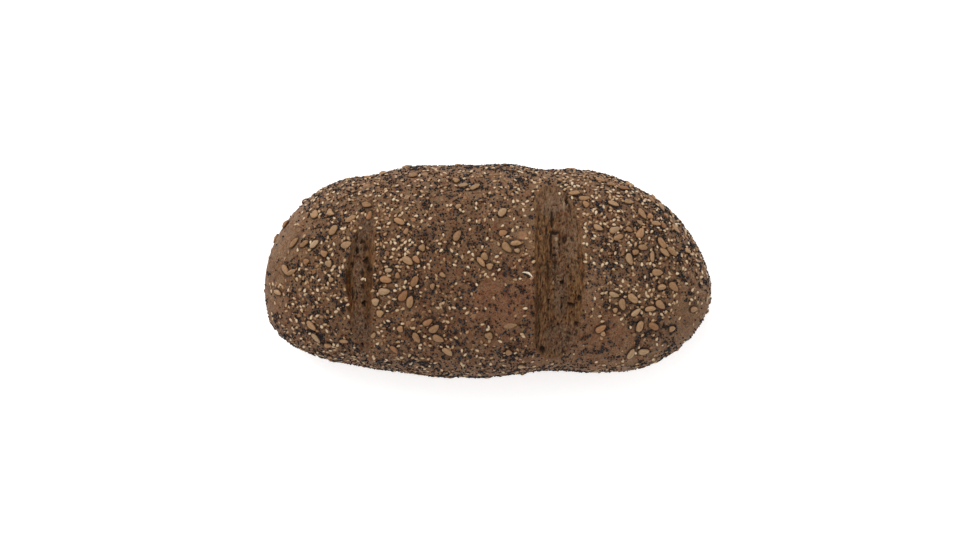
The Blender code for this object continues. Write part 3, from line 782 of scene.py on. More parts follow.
# Zones of tone on the crust, seen from above: X, Y and reach in mm, and strength from 0 to 1. Pale ones
# are like the sides, partly paler browning and partly painted light, brown ones take that paleness away,
# and red ones browned with few seeds on them.
PALE_ZONES = (
    (-150, 24, 30, 0.2), (79, -8, 16, 0.95), (92, 18, 20, 0.75), (-20, 72, 50, 0.5), (60, 72, 50, 0.4),
    (130, 30, 40, 0.3), (152, -6, 20, 0.3), (-12, -68, 26, 0.6), (-102, 56, 18, 0.5), (14, -48, 12, 0.3),
)  # fmt: skip
BROWN_ZONES = ((-147, -2, 17, 0.8), (-147, -26, 14, 0.45), (144, -33, 15, 0.7), (-102, -55, 15, 0.8))
RED_ZONES = (
    (10, -22, 30, 0.75), (-42, 2, 22, 0.4), (-40, -46, 26, 0.45), (78, -44, 22, 0.5),
    (20, -50, 26, 0.4), (-130, -40, 26, 0.4), (80, 34, 18, 0.3), (-10, 28, 26, 0.2),
)  # fmt: skip
ZONE_WANDER = 9 * MM  # how far the zones' edges wander, and over what length
ZONE_PITCH = 16 * MM
ZONE_SHIFT = 31.0
FLANK_FROM = 86 * MM  # the crown's darker colour, partly browning and partly painted shade, fades between these heights
FLANK_TO = 56 * MM
FLANK_MOST = 0.75  # the most paleness, partly painted light, that a low height alone gives the sides
SHADE_BETWEEN_SEEDS_FULL_AT = 3  # the poppy seeds' abundance at which the painted shade between them is at its darkest

CRUST_ROUND = 250
CRUST_SECTIONS = 390
UPPER_SHARE = 0.68  # of the points round a section, those above the girth
MORE_AT_CUTS = 0.8  # how much closer together the sections lie across a cut, and this far beside it
CUT_SURROUND = 3 * MM
STATION_STEPS = 4001
SOCKET_REACH = 0.85 * MM  # the dough drew back round each kernel, and shade is painted there over the same reach
SOCKET_DEPTH = 0.6 * MM
SOCKET_SHADE_TONE = 0.7  # how dark the painted shade round a kernel is
CREASE_SHADE_FULL = 0.6 * MM  # a crease this deep gets its darkest painted shade
DIVE_OVER = 1.5 * MM  # inside a cut's edge, the crust dives under the crumb over this width
PLAIN_BASE = 6 * MM  # the crust's relief fades out over this height above the base

CRUMB_PITCH_X = 0.26 * MM
CRUMB_PITCH_Y = 0.62 * MM
CRUMB_SPAN = 0.995  # of the cut's length, so that the crumb's ends keep a width
CRUMB_THICKNESS = 1.5 * MM
CRUMB_MARGIN = 3.5 * MM  # the crumb runs on this far under the crust
CRUMB_DIP = 1.2 * MM  # and dips this far there, over the next width
CRUMB_DIP_OVER = 1 * MM
PORE_DEPTH = 0.7 * MM
# Widths inside a cut's edge over which the crumb's holes, pores and relief grow to their full size.
PITS_FULL = 1 * MM
PORES_FULL = 2 * MM
RELIEF_FULL = 2.5 * MM
RELIEF_LEAST = 0.2  # share of its relief that it keeps outside
SKIN_WANDER = PlanNoise(1.5 * MM, 4 * MM, 6 * MM, 12.0)
SKIN_WIDTH = 0.8 * MM  # of the strip of crust's colour along the crumb's edge
# Painted shade in the crumb: holes painted dark by their depth, pores, and the hollows between strands up to
# a limit.
HOLE_FULL = 1.6 * MM
PORE_TONE = 0.6
HOLLOW_FULL = 0.9 * MM
HOLLOW_LIMIT = 0.45
HOLLOW_MOST = 0.9

# Oval patches of each tint in the two cuts, seen from above: X, Y and reach along both, all in mm, and
# strength from 0 to 1.
NARROW_CUT_PATCHES = {
    "grey": (
        (-88, 0, 4.5, 34, 0.85), (-83, 33, 12, 12, 1.0), (-86, -42, 9, 16, 1.0),
        (-83, -8, 2.5, 26, 0.4),
    ),
    "wall": ((-96.5, -14, 3.0, 30, 0.95), (-82, -10, 3.6, 32, 0.7)),
    "rust": ((-95, 12, 2.2, 12, 0.45),),
    "pale": (),
}  # fmt: skip
WIDE_CUT_PATCHES = {
    "grey": (
        (55, 24, 7, 30, 0.6), (52, -48, 16, 11, 0.9), (47, 47, 12, 9, 0.8), (50, -14, 5, 24, 0.9),
        (46, 14, 3, 20, 0.8),
    ),
    "wall": ((33, 12, 2.4, 34, 0.3), (66, 0, 3.0, 30, 0.35), (58, -22, 8, 16, 0.35)),
    # Partly painted shade: the first patch is the shade under the torn left lip.
    "rust": (
        (32.6, -30, 2.0, 24, 0.8), (52.2, 24, 1.4, 4, 0.6), (36, -22, 1.6, 10, 0.5),
        (52, -24, 1.6, 10, 0.4), (40.5, 8, 3.0, 34, 0.3), (45, -30, 7, 20, 0.25),
    ),
    "pale": (
        (44, 49, 12, 8, 0.1), (47, 25.7, 1.6, 1.8, 0.7), (47.2, 17, 1.4, 4, 0.2),
        (44.9, -8.6, 1.0, 1.6, 0.6), (48, -25, 4.5, 9, 0.1), (58.5, 20, 4.5, 16, 0.1),
        (52, 45.6, 1.1, 2.8, 0.5),
    ),
}  # fmt: skip
TINT_WANDER_X = PlanNoise(1.2 * MM, 4 * MM, 9 * MM, 12.0)  # how ragged their edges are
TINT_WANDER_Y = PlanNoise(4 * MM, 5 * MM, 8 * MM, 14.0)


def zone_strength(zones, x, y):
    """The strongest of some round zones at a place in plan."""
    total = 0
    for zone_x, zone_y, reach, strength in zones:
        away = np.hypot(x / MM - zone_x, y / MM - zone_y) / reach
        total = np.maximum(total, strength * np.exp(-(away**2)))
    return total


def tones(points):
    """The crust's zones of tone at some points, as attributes: paleness that is partly painted light,
    redness, and painted shade between thick poppy seeds.
    """
    wander = ZONE_WANDER * noise_at(points, ZONE_PITCH)
    x = points[..., 0] + wander
    y = points[..., 1] + ZONE_WANDER * noise_at(points, ZONE_PITCH, ZONE_SHIFT)
    low = rising(FLANK_FROM - points[..., 2] + wander / 2, FLANK_FROM - FLANK_TO)
    pale = FLANK_MOST * low + zone_strength(PALE_ZONES, x, y) - zone_strength(BROWN_ZONES, x, y)
    return {
        "flank": np.clip(pale, 0, 1),
        "red": zone_strength(RED_ZONES, x, y),
        "seeded": rising(abundance(POPPY_RULE, points), SHADE_BETWEEN_SEEDS_FULL_AT),
    }


def sockets(points):
    """1 beside a kernel, fading out away from it."""
    total = np.zeros(len(points))
    for rows, along, across, size in beside_kernels(points):
        share = np.hypot(along / (size[0] / 2), across / (size[1] / 2))
        away = np.clip(share - 1, 0, None) * size[1] / 2
        total[rows] = np.maximum(total[rows], np.exp(-((away / SOCKET_REACH) ** 2)))
    return total


def stations(sections):
    """X of each section from tip to tip, closer together at the ends and across the cuts."""
    fine = np.linspace(0, 1, STATION_STEPS)
    x = -LENGTH / 2 * np.cos(math.pi * fine)
    density = np.ones_like(fine)
    for cut in CUTS:
        middle = cut.crease + (cut.right - cut.left) / 2
        reach = (cut.left + cut.right) / 2 + CUT_SURROUND
        density += MORE_AT_CUTS * np.exp(-(((x - middle) / reach) ** 4))
    share = np.concatenate([[0], np.cumsum((density[1:] + density[:-1]) / 2)])
    return np.interp(np.linspace(0, 1, sections + 1), share / share[-1], x)


def make_crust():
    """The crust: a sphere whose rings become the loaf's sections."""
    bm = bmesh.new()
    bmesh.ops.create_uvsphere(bm, u_segments=CRUST_ROUND, v_segments=CRUST_SECTIONS, radius=1)
    mesh = mesh_of(bm, "crust")
    co = read_points(mesh)
    ring = np.rint(CRUST_SECTIONS * (1 - np.arccos(np.clip(co[:, 2], -1, 1)) / math.pi))
    turn = (np.arctan2(co[:, 1], co[:, 0]) / (2 * math.pi)) % 1
    x = stations(CRUST_SECTIONS)[ring.astype(int)]
    angle = np.interp(turn, (0, UPPER_SHARE, 1), (0, math.pi, 2 * math.pi))
    y = plan_y(x, angle)
    plain = skin(x, angle)
    upper = np.sin(angle) >= 0
    sink = sum(cut_depth(cut, x, y) for cut in CUTS) + TUCK * rising(in_cuts(x, y), DIVE_OVER)
    crease = upper * tear_depth(CREASES, x, y)
    socket = sockets(plain)
    relief = crust_relief(plain) * rising(plain[:, 2], PLAIN_BASE)
    points = skin(x, angle, relief - upper * sink - socket * SOCKET_DEPTH - crease)
    move_points(mesh, points)
    # Painted shade round each kernel and in the crust's creases.
    attributes = {**tones(points), "socket": np.maximum(SOCKET_SHADE_TONE * socket, crease / CREASE_SHADE_FULL)}
    return finish_piece(mesh, "crust", baked_crust(), attributes)


def tints(patches, x, y):
    """How strongly each tint shows at a place in plan, from patches whose edges wander."""
    x = x + TINT_WANDER_X.at(x, y)
    y = y + TINT_WANDER_Y.at(x, y)
    found = {}
    for tint, ovals in patches.items():
        found[tint] = np.zeros(np.shape(x))
        for oval_x, oval_y, reach_x, reach_y, strength in ovals:
            away = ((x / MM - oval_x) / reach_x) ** 2 + ((y / MM - oval_y) / reach_y) ** 2
            found[tint] = np.maximum(found[tint], strength * np.exp(-(away**2)))
    return found


def make_crumb(cut, name, material, patches):
    """The torn crumb that lines one cut: a grid laid in it, given a thickness."""
    across = round((cut.left + cut.right + 2 * CRUMB_MARGIN) / CRUMB_PITCH_X)
    along = round(2 * cut.half_span / CRUMB_PITCH_Y)
    bm = bmesh.new()
    bmesh.ops.create_grid(bm, x_segments=across, y_segments=along, size=1)
    mesh = mesh_of(bm, name)
    co = read_points(mesh)
    v = co[:, 1] * CRUMB_SPAN
    crease, left, right = cut_plan(cut, v)
    width = left + right + 2 * CRUMB_MARGIN
    x = crease - left - CRUMB_MARGIN + width * (co[:, 0] + 1) / 2
    y = cut.middle + cut.half_span * v
    _, u, _ = across_cut(cut, x, y)
    inside = in_cuts(x, y)
    pits = np.maximum(pit_depth(x, y), tear_depth(TEARS, x, y)) * rising(inside, PITS_FULL)
    pore = pores(x, y) * rising(inside, PORES_FULL)
    relief = crumb_relief(x, y, u)
    share = np.maximum(rising(inside, RELIEF_FULL), RELIEF_LEAST)
    dip = CRUMB_DIP * rising(-inside, CRUMB_DIP_OVER)
    out = relief * share + CRUMB_RISE - cut_depth(cut, x, y) - pits - PORE_DEPTH * pore - dip
    angle = angle_above(x, y)
    points = skin(x, angle, out + crust_relief(skin(x, angle)) * (1 - share))
    move_points(mesh, points)
    from_edge = np.clip(inside + SKIN_WANDER.at(x, y), 0, None)
    troughs = np.clip(-relief / HOLLOW_FULL, 0, HOLLOW_LIMIT) * share
    attributes = {
        **tones(points),
        **tints(patches, x, y),
        "socket": np.zeros(len(points)),
        "skin": np.exp(-((from_edge / SKIN_WIDTH) ** 2)),
        "hollow": HOLLOW_MOST * np.clip(pits / HOLE_FULL + PORE_TONE * pore + troughs, 0, 1),
    }
    piece = finish_piece(mesh, name, material, attributes)
    thicken(piece, CRUMB_THICKNESS)
    return piece


# ---- Seats of kernels and seeds ----
SEAT_STEP = 0.4 * MM  # how far on each side of a seat its slope is measured, along the loaf
SEAT_TURN = 0.01  # and round its section
STEEPEST = 0.25  # a kernel's long side follows the crust until its normal points up this little


def seats(x, angle):
    """Points of the crust and the outward normals there, arrays with X, Y and Z last."""
    along = skin(x + SEAT_STEP, angle) - skin(x - SEAT_STEP, angle)
    around = skin(x, angle + SEAT_TURN) - skin(x, angle - SEAT_TURN)
    normal = np.cross(around, along)
    return skin(x, angle), normal / np.linalg.norm(normal, axis=-1, keepdims=True)


def heading_of(degrees):
    """A level direction, turned from X."""
    return np.array([math.cos(math.radians(degrees)), math.sin(math.radians(degrees)), 0])


def placements(normal, heading):
    """Rotations that lay a seed flat on the crust with its long side along heading."""
    across = np.cross(normal, heading)
    across = across / np.linalg.norm(across, axis=-1, keepdims=True)
    along = np.cross(across, normal)
    return np.stack([along, across, normal], axis=-1)


def columns(rows):
    """The columns of some rows, each an array."""
    return (np.array(column) for column in zip(*rows, strict=True))


def uneven(draw):
    """A factor for a kernel's size, uneven as real ones are."""
    return 1 + SIZE_SPREAD * draw.uniform(-1, 1)


def side_places(draw):
    """Stations and angles of the kernels low on the sides, kept apart from each other."""
    found = []
    points = []
    while len(found) < SIDE_KERNELS:
        x = -LENGTH / 2 * math.cos(math.pi * draw.uniform(*SIDE_SPAN))
        angle = draw.uniform(*SIDE_ANGLES)
        if draw.uniform(0, 1) < 0.5:
            angle = math.pi - angle  # the other side
        point = Vector(skin(x, angle))
        clear = all((point - other).length > SIDE_SPACING for other in points)
        if SIDE_FROM < point.z < SIDE_TO and clear:
            found.append((x, angle))
            points.append(point)
    return found


class Kernels(NamedTuple):
    """Some kernels: where they lie, how they are turned and how large they are."""

    points: np.ndarray
    turns: np.ndarray
    sizes: np.ndarray


@lru_cache
def kernels():
    """Every kernel of the loaf, whole ones and broken ones."""
    draw = np.random.default_rng(KERNEL_DRAWS)
    rows = []
    for x, y, turned, length, width in WHOLE_KERNELS + BROKEN_KERNELS:
        point, normal = seats(x * MM, float(angle_above(x * MM, y * MM)))
        heading = heading_of(turned)
        heading[2] = -(normal[:2] @ heading[:2]) / max(normal[2], STEEPEST)
        rows.append((point, normal, heading, (length * MM, width * MM, THICKNESS * uneven(draw))))
    whole, broken = rows[: len(WHOLE_KERNELS)], rows[len(WHOLE_KERNELS) :]
    for x, angle in side_places(draw):
        point, normal = seats(x, angle)
        heading = np.array([1, *draw.uniform(-SIDE_SLANT, SIDE_SLANT, 2)])
        size = (SIDE_LENGTH * uneven(draw), SIDE_WIDTH * uneven(draw), THICKNESS * uneven(draw))
        whole.append((point, normal, heading, size))
    found = []
    for rows in (whole, broken):
        point, normal, heading, size = columns(rows)
        proud = (PROUD_SHARE - 0.5) * size[:, 2:] + KERNEL_LIFT + crust_relief(point)[:, None]
        found.append(Kernels(point + normal * proud, placements(normal, heading), size))
    return tuple(found)


def beside_kernels(points):
    """For each kernel, the points near it: (their rows, places along it and across it, its size)."""
    for group in kernels():
        for place, turn, size in zip(*group, strict=True):
            rows = np.flatnonzero(np.abs(points - place).max(axis=1) < size[0])
            along, across, out = ((points[rows] - place) @ turn).T
            level = np.abs(out) < size[2] * 2
            yield rows[level], along[level], across[level], size


def clear_of_kernels(points, margin):
    """Which points lie clear of every kernel."""
    clear = np.ones(len(points), bool)
    for rows, along, across, size in beside_kernels(points):
        share = (along / (size[0] / 2 + margin)) ** 2 + (across / (size[1] / 2 + margin)) ** 2
        clear[rows[share < 1]] = False
    return clear


# Where seeds lie thick or thin, seen from above: X, Y and reach in mm, and the factor at the middle.
SESAME_ZONES = (
    (-150, 30, 26, 0.1), (-148, 5, 16, 0.25), (-125, -14, 20, 1.9), (-98, 40, 30, 1.5),
    (-68, 20, 24, 2.2), (-66, -18, 16, 1.7), (-30, 38, 18, 0.45), (-18, -20, 18, 0.6),
    (10, -22, 20, 0.15), (22, -40, 16, 0.3), (62, -16, 14, 0.5), (95, 42, 28, 2.0),
    (84, 22, 18, 2.0), (106, -20, 26, 1.7), (85, -54, 22, 0.25), (138, -40, 22, 0.2),
    (72, -40, 16, 0.4), (-60, -48, 22, 1.0), (-28, -52, 22, 1.1), (8, 38, 20, 1.3),
    (132, 20, 24, 1.6), (150, -10, 16, 0.6), (-132, 20, 16, 0.4), (75, 4, 16, 0.6),
    (-116, -46, 24, 1.6), (62, 58, 24, 1.9), (-154, -26, 12, 0.1), (-136, 42, 12, 0.2),
    (-10, -68, 34, 0.5), (50, -66, 24, 0.4), (-12, -40, 14, 0.5), (-72, -24, 12, 1.5),
    (134, 2, 16, 1.9), (-138, -42, 14, 0.5), (84, -48, 14, 0.5),
)  # fmt: skip
POPPY_ZONES = (
    (-150, 25, 26, 0.03), (-150, -8, 16, 0.15), (-115, 38, 22, 1.3), (-118, -18, 20, 1.9),
    (-62, 10, 24, 2.2), (-24, 20, 28, 1.8), (-34, -24, 20, 2.0), (12, -18, 20, 0.25),
    (0, -34, 16, 0.8), (18, 40, 22, 0.65), (92, 40, 22, 1.9), (126, 28, 26, 2.0),
    (85, 14, 22, 1.4), (112, -14, 26, 1.8), (145, -30, 24, 0.12), (70, -24, 18, 0.5),
    (75, -50, 24, 0.3), (20, -56, 26, 1.15), (-60, -50, 20, 0.8), (-20, -60, 34, 1.15),
    (-80, 62, 34, 1.6), (0, 66, 40, 1.4), (66, 30, 12, 0.5), (-140, 20, 20, 0.3),
    (-88, -58, 26, 1.7), (60, 62, 30, 1.3), (-50, -22, 14, 0.5), (90, -60, 26, 0.7),
    (-154, -26, 13, 0.05), (-136, 42, 12, 0.15), (80, 0, 14, 1.8), (-113, 12, 16, 1.5),
    (-58, -62, 14, 1.4), (153, 4, 10, 0.25),
)  # fmt: skip


class Rule(NamedTuple):
    """How one kind of seed is spread."""

    zones: tuple
    clump_pitch: float  # how large the clumps of seeds are
    stray: float  # abundance between the clumps
    clump: float  # how fast it rises inside them
    gap: float  # how far apart the clumps lie, from -0.5 for touching ones to 0.5
    spacing: float
    margin: float  # kept clear round a kernel
    draws: int  # starts the random draws
    ceiling: float  # abundance at which every place is taken


SESAME_RULE = Rule(
    SESAME_ZONES, clump_pitch=4.5 * MM, stray=0.7, clump=1.6, gap=-0.1, spacing=2.0 * MM,
    margin=0.5 * MM, draws=23, ceiling=8,
)  # fmt: skip
POPPY_RULE = Rule(
    POPPY_ZONES, clump_pitch=3.6 * MM, stray=0.6, clump=30, gap=0.2, spacing=0.85 * MM,
    margin=0.2 * MM, draws=37, ceiling=6,
)  # fmt: skip
BRAN_RULE = Rule(
    SESAME_ZONES, clump_pitch=5 * MM, stray=1.0, clump=0.6, gap=-0.1, spacing=1.9 * MM,
    margin=0.3 * MM, draws=61, ceiling=8,
)  # fmt: skip
WIDE_CLUMPS = (0.6, 2.7, 3.0)  # share, size next to the clumps' own, and shift of a wider unevenness
SEEDS_FROM = 12 * MM  # heights between which the seeds thin out down the sides
SEEDS_FULL = 44 * MM
THINNING_POWER = 1.3
CLEAR_OF_SESAME = 1.2 * MM
FLAKE_SURROUND = 0.22  # kept clear round a flake, as a share of its length and width together
STRAY_SESAME = ((-86, -6), (-84, -6.4), (-87.5, 30), (-84, 38), (49, 53))  # X and Y in mm
STRAY_RISE = 0.3 * MM

SPREAD_BATCH = 8000
SPREAD_SPAN = (0.01, 0.99)  # shares of the way from tip to tip
SPREAD_ANGLES = (-0.9, math.pi + 0.9)  # from under the girth on one side to under it on the other
SPREAD_STEP = 0.02  # over which the crust's slope is measured, in radians and in mm
STEEPEST_END = 4  # the most that the tips' slope counts


def zone_factor(zones, x, y):
    """The product of round zones' factors at a place in plan."""
    total = np.ones(np.shape(x))
    for zone_x, zone_y, reach, factor in zones:
        away = np.hypot(x / MM - zone_x, y / MM - zone_y) / reach
        total = total * (1 + (factor - 1) * np.exp(-(away**4)))
    return total


def abundance(rule, points):
    """How thick seeds of a kind lie at some points of the crust."""
    share, wider, shift = WIDE_CLUMPS
    clumps = noise_at(points, rule.clump_pitch, rule.draws)
    clumps = clumps + share * noise_at(points, rule.clump_pitch * wider, shift)
    thick = rule.stray + rule.clump * np.clip(clumps - rule.gap, 0, None)
    low = rising(points[..., 2] - SEEDS_FROM, SEEDS_FULL - SEEDS_FROM) ** THINNING_POWER
    return thick * low * zone_factor(rule.zones, points[..., 0], points[..., 1])


def clear_of_flakes(points):
    """Which points lie clear of every flake."""
    clear = np.ones(len(points), bool)
    for x, y, _, length, width, _ in FLAKES:
        away = np.hypot(points[:, 0] / MM - x, points[:, 1] / MM - y)
        clear &= away > FLAKE_SURROUND * (length + width)
    return clear


def crust_covered(x, angle):
    """How much crust an even draw of x and angle spreads over at some places, next to the middle."""
    step = SPREAD_STEP
    around = np.linalg.norm(skin(x, angle + step) - skin(x, angle - step), axis=1) / (2 * step)
    step = SPREAD_STEP * MM
    slope = np.linalg.norm(skin(x + step, angle) - skin(x - step, angle), axis=1) / (2 * step)
    shortened = np.sqrt(np.clip(1 - (x / (LENGTH / 2)) ** 2, 1e-4, None))
    return around / (WIDTH / 2) * shortened * np.minimum(slope, STEEPEST_END)


def neighbours(cells, cell):
    """The points kept in a cell and in those round it."""
    steps = (-1, 0, 1)
    around = ((cell[0] + dx, cell[1] + dy, cell[2] + dz) for dx in steps for dy in steps for dz in steps)
    return [other for key in around for other in cells.get(key, ())]


def spread(count, rule, others=()):
    """Seats of count seeds: (points, normals), thick and thin as the rule says, clear of others."""
    tree = KDTree(len(others))
    for i, other in enumerate(others):
        tree.insert(other, i)
    tree.balance()
    draw = np.random.default_rng(rule.draws)
    kept = []
    cells = {}
    while len(kept) < count:
        x = -LENGTH / 2 * np.cos(math.pi * draw.uniform(*SPREAD_SPAN, SPREAD_BATCH))
        angle = draw.uniform(*SPREAD_ANGLES, SPREAD_BATCH)
        points, normals = seats(x, angle)
        weight = crust_covered(x, angle) * abundance(rule, points)
        taken = draw.uniform(0, rule.ceiling, SPREAD_BATCH) < weight
        taken &= in_cuts(x, points[:, 1]) < 0
        taken &= clear_of_kernels(points, rule.margin)
        taken &= clear_of_flakes(points)
        for i in np.flatnonzero(taken):
            if len(others) and tree.find(points[i])[2] < CLEAR_OF_SESAME:
                continue
            cell = tuple(np.floor(points[i] / rule.spacing).astype(int).tolist())
            near = neighbours(cells, cell)
            if all(np.linalg.norm(points[i] - other) > rule.spacing for other in near):
                cells.setdefault(cell, []).append(points[i])
                kept.append((points[i], normals[i]))
    points, normals = columns(kept[:count])
    return points + normals * crust_relief(points)[:, None], normals


@lru_cache
def sesame_seats(count):
    """Seats of the sesame seeds, with the few that fell into a cut: (points, normals)."""
    points, normals = spread(count, SESAME_RULE)
    x, y = np.array(STRAY_SESAME).T * MM
    _, normal = seats(x, angle_above(x, y))
    fallen = sum(cut_depth(cut, x, y) for cut in CUTS)
    strays = skin(x, angle_above(x, y), CRUMB_RISE + STRAY_RISE - fallen)
    return np.concatenate([points, strays]), np.concatenate([normals, normal])


# ---- Shapes of kernels and seeds, each modelled one unit long ----


class Shape(NamedTuple):
    """One seed's mesh: points, and triangles as rows of three indices."""

    points: np.ndarray
    triangles: np.ndarray


# A kernel's lumps, its two flat faces that meet in a low ridge, and its taper.
KERNEL_LUMP = 0.09
KERNEL_LUMP_SCALE = 3.4
KERNEL_RIDGE = (1.12, 0.6, 0.08)  # height, slope to both sides and place
KERNEL_WAIST = 0.12
KERNEL_WIDER = 1.04  # makes up for what the shaping takes off its width
KERNEL_HEEL = (0.95, 0.1)  # height at the middle, and how much lower the pointed end is
# A broken kernel's four broken sides: how far out they lie, how uneven that is and how they turn.
BREAK_OUT = 0.38
BREAK_UNEVEN = (0.06, 5)
BREAK_TURNS = (3, 1.9)
CHIP_WIDER = 1.12
CHIP_LUMP = 0.12
CHIP_RIDGE = (0.12, 30, 0.1)  # height, sharpness and place
CHIP_HEEL = (0.9, 0.3)
SESAME_WAIST = 0.1
SESAME_WIDER = 1.12
SESAME_HEEL = 0.5
POPPY_DENT = 0.16
FLAKE_RAGGED = (0.35, 1.3)  # how far a flake's outline wanders, and how fast
FLAKE_FLAT = (1.8, 0.42)  # how steep its edge is, and where its face is cut off flat
FLAKE_LUMP = 0.1
FLAKE_LUMP_SCALE = 3


def shape_of(bm):
    """The shape of a small mesh, which is freed."""
    bm.verts.index_update()
    points = np.array([vertex.co for vertex in bm.verts])
    triangles = np.array([[vertex.index for vertex in face.verts] for face in bm.faces])
    bm.free()
    return Shape(points, triangles)


def seed_shape(form, sides, rings, **settings):
    """A seed modelled on a sphere with its poles at its ends; form moves each point."""
    bm = bmesh.new()
    bmesh.ops.create_uvsphere(bm, u_segments=sides, v_segments=rings, radius=0.5)
    bmesh.ops.triangulate(bm, faces=bm.faces)
    for vertex in bm.verts:
        y, z, x = vertex.co
        vertex.co = form(x, y, z, **settings)
    bmesh.ops.recalc_face_normals(bm, faces=bm.faces)
    return shape_of(bm)


def kernel_form(x, y, z, point, square, bend):
    """Pointed at one end, with flattened faces and soft shoulders, a little bent and lumpy."""
    along = 2 * x
    scale = KERNEL_LUMP_SCALE
    lump = KERNEL_LUMP * noise.noise(Vector((scale * x + 9 * point, scale * y, scale * z + 5 * bend)))
    narrow = 1 - point * along - KERNEL_WAIST * along**2 + square * (1 - along**4) * abs(along)
    top, slope, ridge = KERNEL_RIDGE
    middle, fall = KERNEL_HEEL
    y_bent = y * narrow * KERNEL_WIDER + bend * (0.25 - x * x) + lump
    return x, y_bent, z * (middle - fall * along) * (top - slope * abs(y - ridge)) + lump


def chip_form(x, y, z, turn):
    """A snapped kernel: a lump with four flat broken sides."""
    for i in range(4):
        side = BREAK_TURNS[0] * turn + BREAK_TURNS[1] * i
        reach = BREAK_OUT + BREAK_UNEVEN[0] * math.sin(BREAK_UNEVEN[1] * side)
        over = max(x * math.cos(side) + y * math.sin(side) - reach, 0)
        x -= over * math.cos(side)
        y -= over * math.sin(side)
    lump = CHIP_LUMP * noise.noise(Vector((2.6 * x + turn, 3.1 * y, 2.9 * z + 7)))
    top, sharp, place = CHIP_RIDGE
    ridge = top * math.exp(-sharp * (y - place * math.cos(turn)) ** 2)
    middle, fall = CHIP_HEEL
    return CHIP_WIDER * x, CHIP_WIDER * y + lump, z * (middle - fall * x + ridge) + lump


def sesame_form(x, y, z, point):
    """A flat drop."""
    narrow = 1 - point * 2 * x - SESAME_WAIST * (2 * x) ** 2
    return x, y * narrow * SESAME_WIDER, z * (1 - SESAME_HEEL * x)


def flake_form(x, y, z, turn):
    """A flat flake with a ragged outline."""
    around = math.atan2(y, x)
    reach, fast = FLAKE_RAGGED
    outline = Vector((fast * math.cos(around) + turn, fast * math.sin(around), turn))
    ragged = 1 + reach * noise.noise(outline)
    steep, face = FLAKE_FLAT
    lump = FLAKE_LUMP * noise.noise(Vector((FLAKE_LUMP_SCALE * x, FLAKE_LUMP_SCALE * y, turn)))
    return x * ragged, y * ragged, math.copysign(min(abs(z) * steep, face), z) + lump


def poppy_shape():
    """A small bean: a ball dented on one side."""
    bm = bmesh.new()
    bmesh.ops.create_icosphere(bm, subdivisions=1, radius=0.5)
    for vertex in bm.verts:
        vertex.co.y -= POPPY_DENT * (0.25 - vertex.co.x**2)
    return shape_of(bm)


def scatter(name, shapes, kinds, points, turns, sizes, material, shades):
    """Joins a copy of a shape at each place. kinds picks it from the shapes, which share their faces."""
    count = len(points)
    shape = shapes[0]
    own = np.stack([each.points for each in shapes])[kinds]
    corners = own * sizes[:, None, :]
    co = np.einsum("nij,nkj->nki", turns, corners) + points[:, None, :]
    offsets = (np.arange(count) * len(shape.points))[:, None, None]
    faces = (shape.triangles[None] + offsets).reshape(-1, 3)
    mesh = bpy.data.meshes.new(name)
    mesh.vertices.add(count * len(shape.points))
    move_points(mesh, co)
    mesh.loops.add(faces.size)
    mesh.loops.foreach_set("vertex_index", faces.astype(np.int32).ravel())
    mesh.polygons.add(len(faces))
    mesh.polygons.foreach_set("loop_start", np.arange(0, faces.size, 3, dtype=np.int32))
    mesh.update(calc_edges=True)
    attributes = {"own": own.reshape(-1, 3), "tone": np.repeat(shades, len(shape.points))}
    return finish_piece(mesh, name, material, attributes)


def tipped(turns, draw, most):
    """The same rotations, each seed tipped a little at random."""
    tilt = draw.normal(0, most, (len(turns), 2))
    along, across, up = (turns[:, :, i].copy() for i in range(3))
    along += up * tilt[:, :1]
    along /= np.linalg.norm(along, axis=1, keepdims=True)
    across += up * tilt[:, 1:]
    across -= along * (along * across).sum(1, keepdims=True)
    across /= np.linalg.norm(across, axis=1, keepdims=True)
    return np.stack([along, across, np.cross(along, across)], axis=-1)


# Whole kernels come in a few shapes: how pointed, how square and how bent. The last one curls like a
# bean, and one kernel alone has it, at this place in the table.
KERNEL_SHAPES = [
    {"point": point, "square": square, "bend": bend}
    for point, square, bend in (
        (0.3, 0.05, 0), (0.14, 0.18, 0.2), (0.22, 0.1, -0.3), (0.06, 0.22, 0.1), (0.18, 0.15, 0.45),
        (0.26, 0, -0.15), (0.1, 0.12, -1.7),
    )  # fmt: skip
]
BENT_KERNEL = 1
CHIP_SHAPES = (0.3, 1.4, 3.3, 4.4)  # turns of the broken sides
SESAME_SHAPES = (0.2, 0.34, 0.42)  # how pointed
FLAKE_SHAPES = (0.4, 2.7, 5.2, 7.9)
KERNEL_FULLNESS = (0.95, 0.97, 1.08)  # of their length, width and thickness, next to the solid's kernels
KERNEL_TILT = 0.09
SHADE_DRAWS = 5


def make_kernels():
    """The sunflower kernels, whole and broken."""
    draw = np.random.default_rng(SHADE_DRAWS)
    material = hulled_kernel("toasted_kernel", KERNEL_STOPS)
    whole, broken = kernels()
    drops = [seed_shape(kernel_form, 22, 16, **shape) for shape in KERNEL_SHAPES]
    chips = [seed_shape(chip_form, 16, 12, turn=turn) for turn in CHIP_SHAPES]
    groups = (("whole_kernels", drops, len(drops) - 1, whole), ("broken_kernels", chips, len(chips), broken))
    for name, shapes, common, group in groups:
        shades = draw.uniform(0, 1, len(group.points))
        kinds = draw.integers(0, common, len(group.points))
        if group is whole:
            kinds[BENT_KERNEL] = common
        turns = tipped(group.turns, draw, KERNEL_TILT)
        sizes = group.sizes * np.array(KERNEL_FULLNESS)
        scatter(name, shapes, kinds, group.points, turns, sizes, material, shades)


class SmallSeed(NamedTuple):
    """One kind of small seed: its usual size, how proud of the crust it stands and how it is tipped."""

    name: str
    size: tuple
    proud: float  # share of its thickness
    tilt: float
    draws: int  # starts the random draws


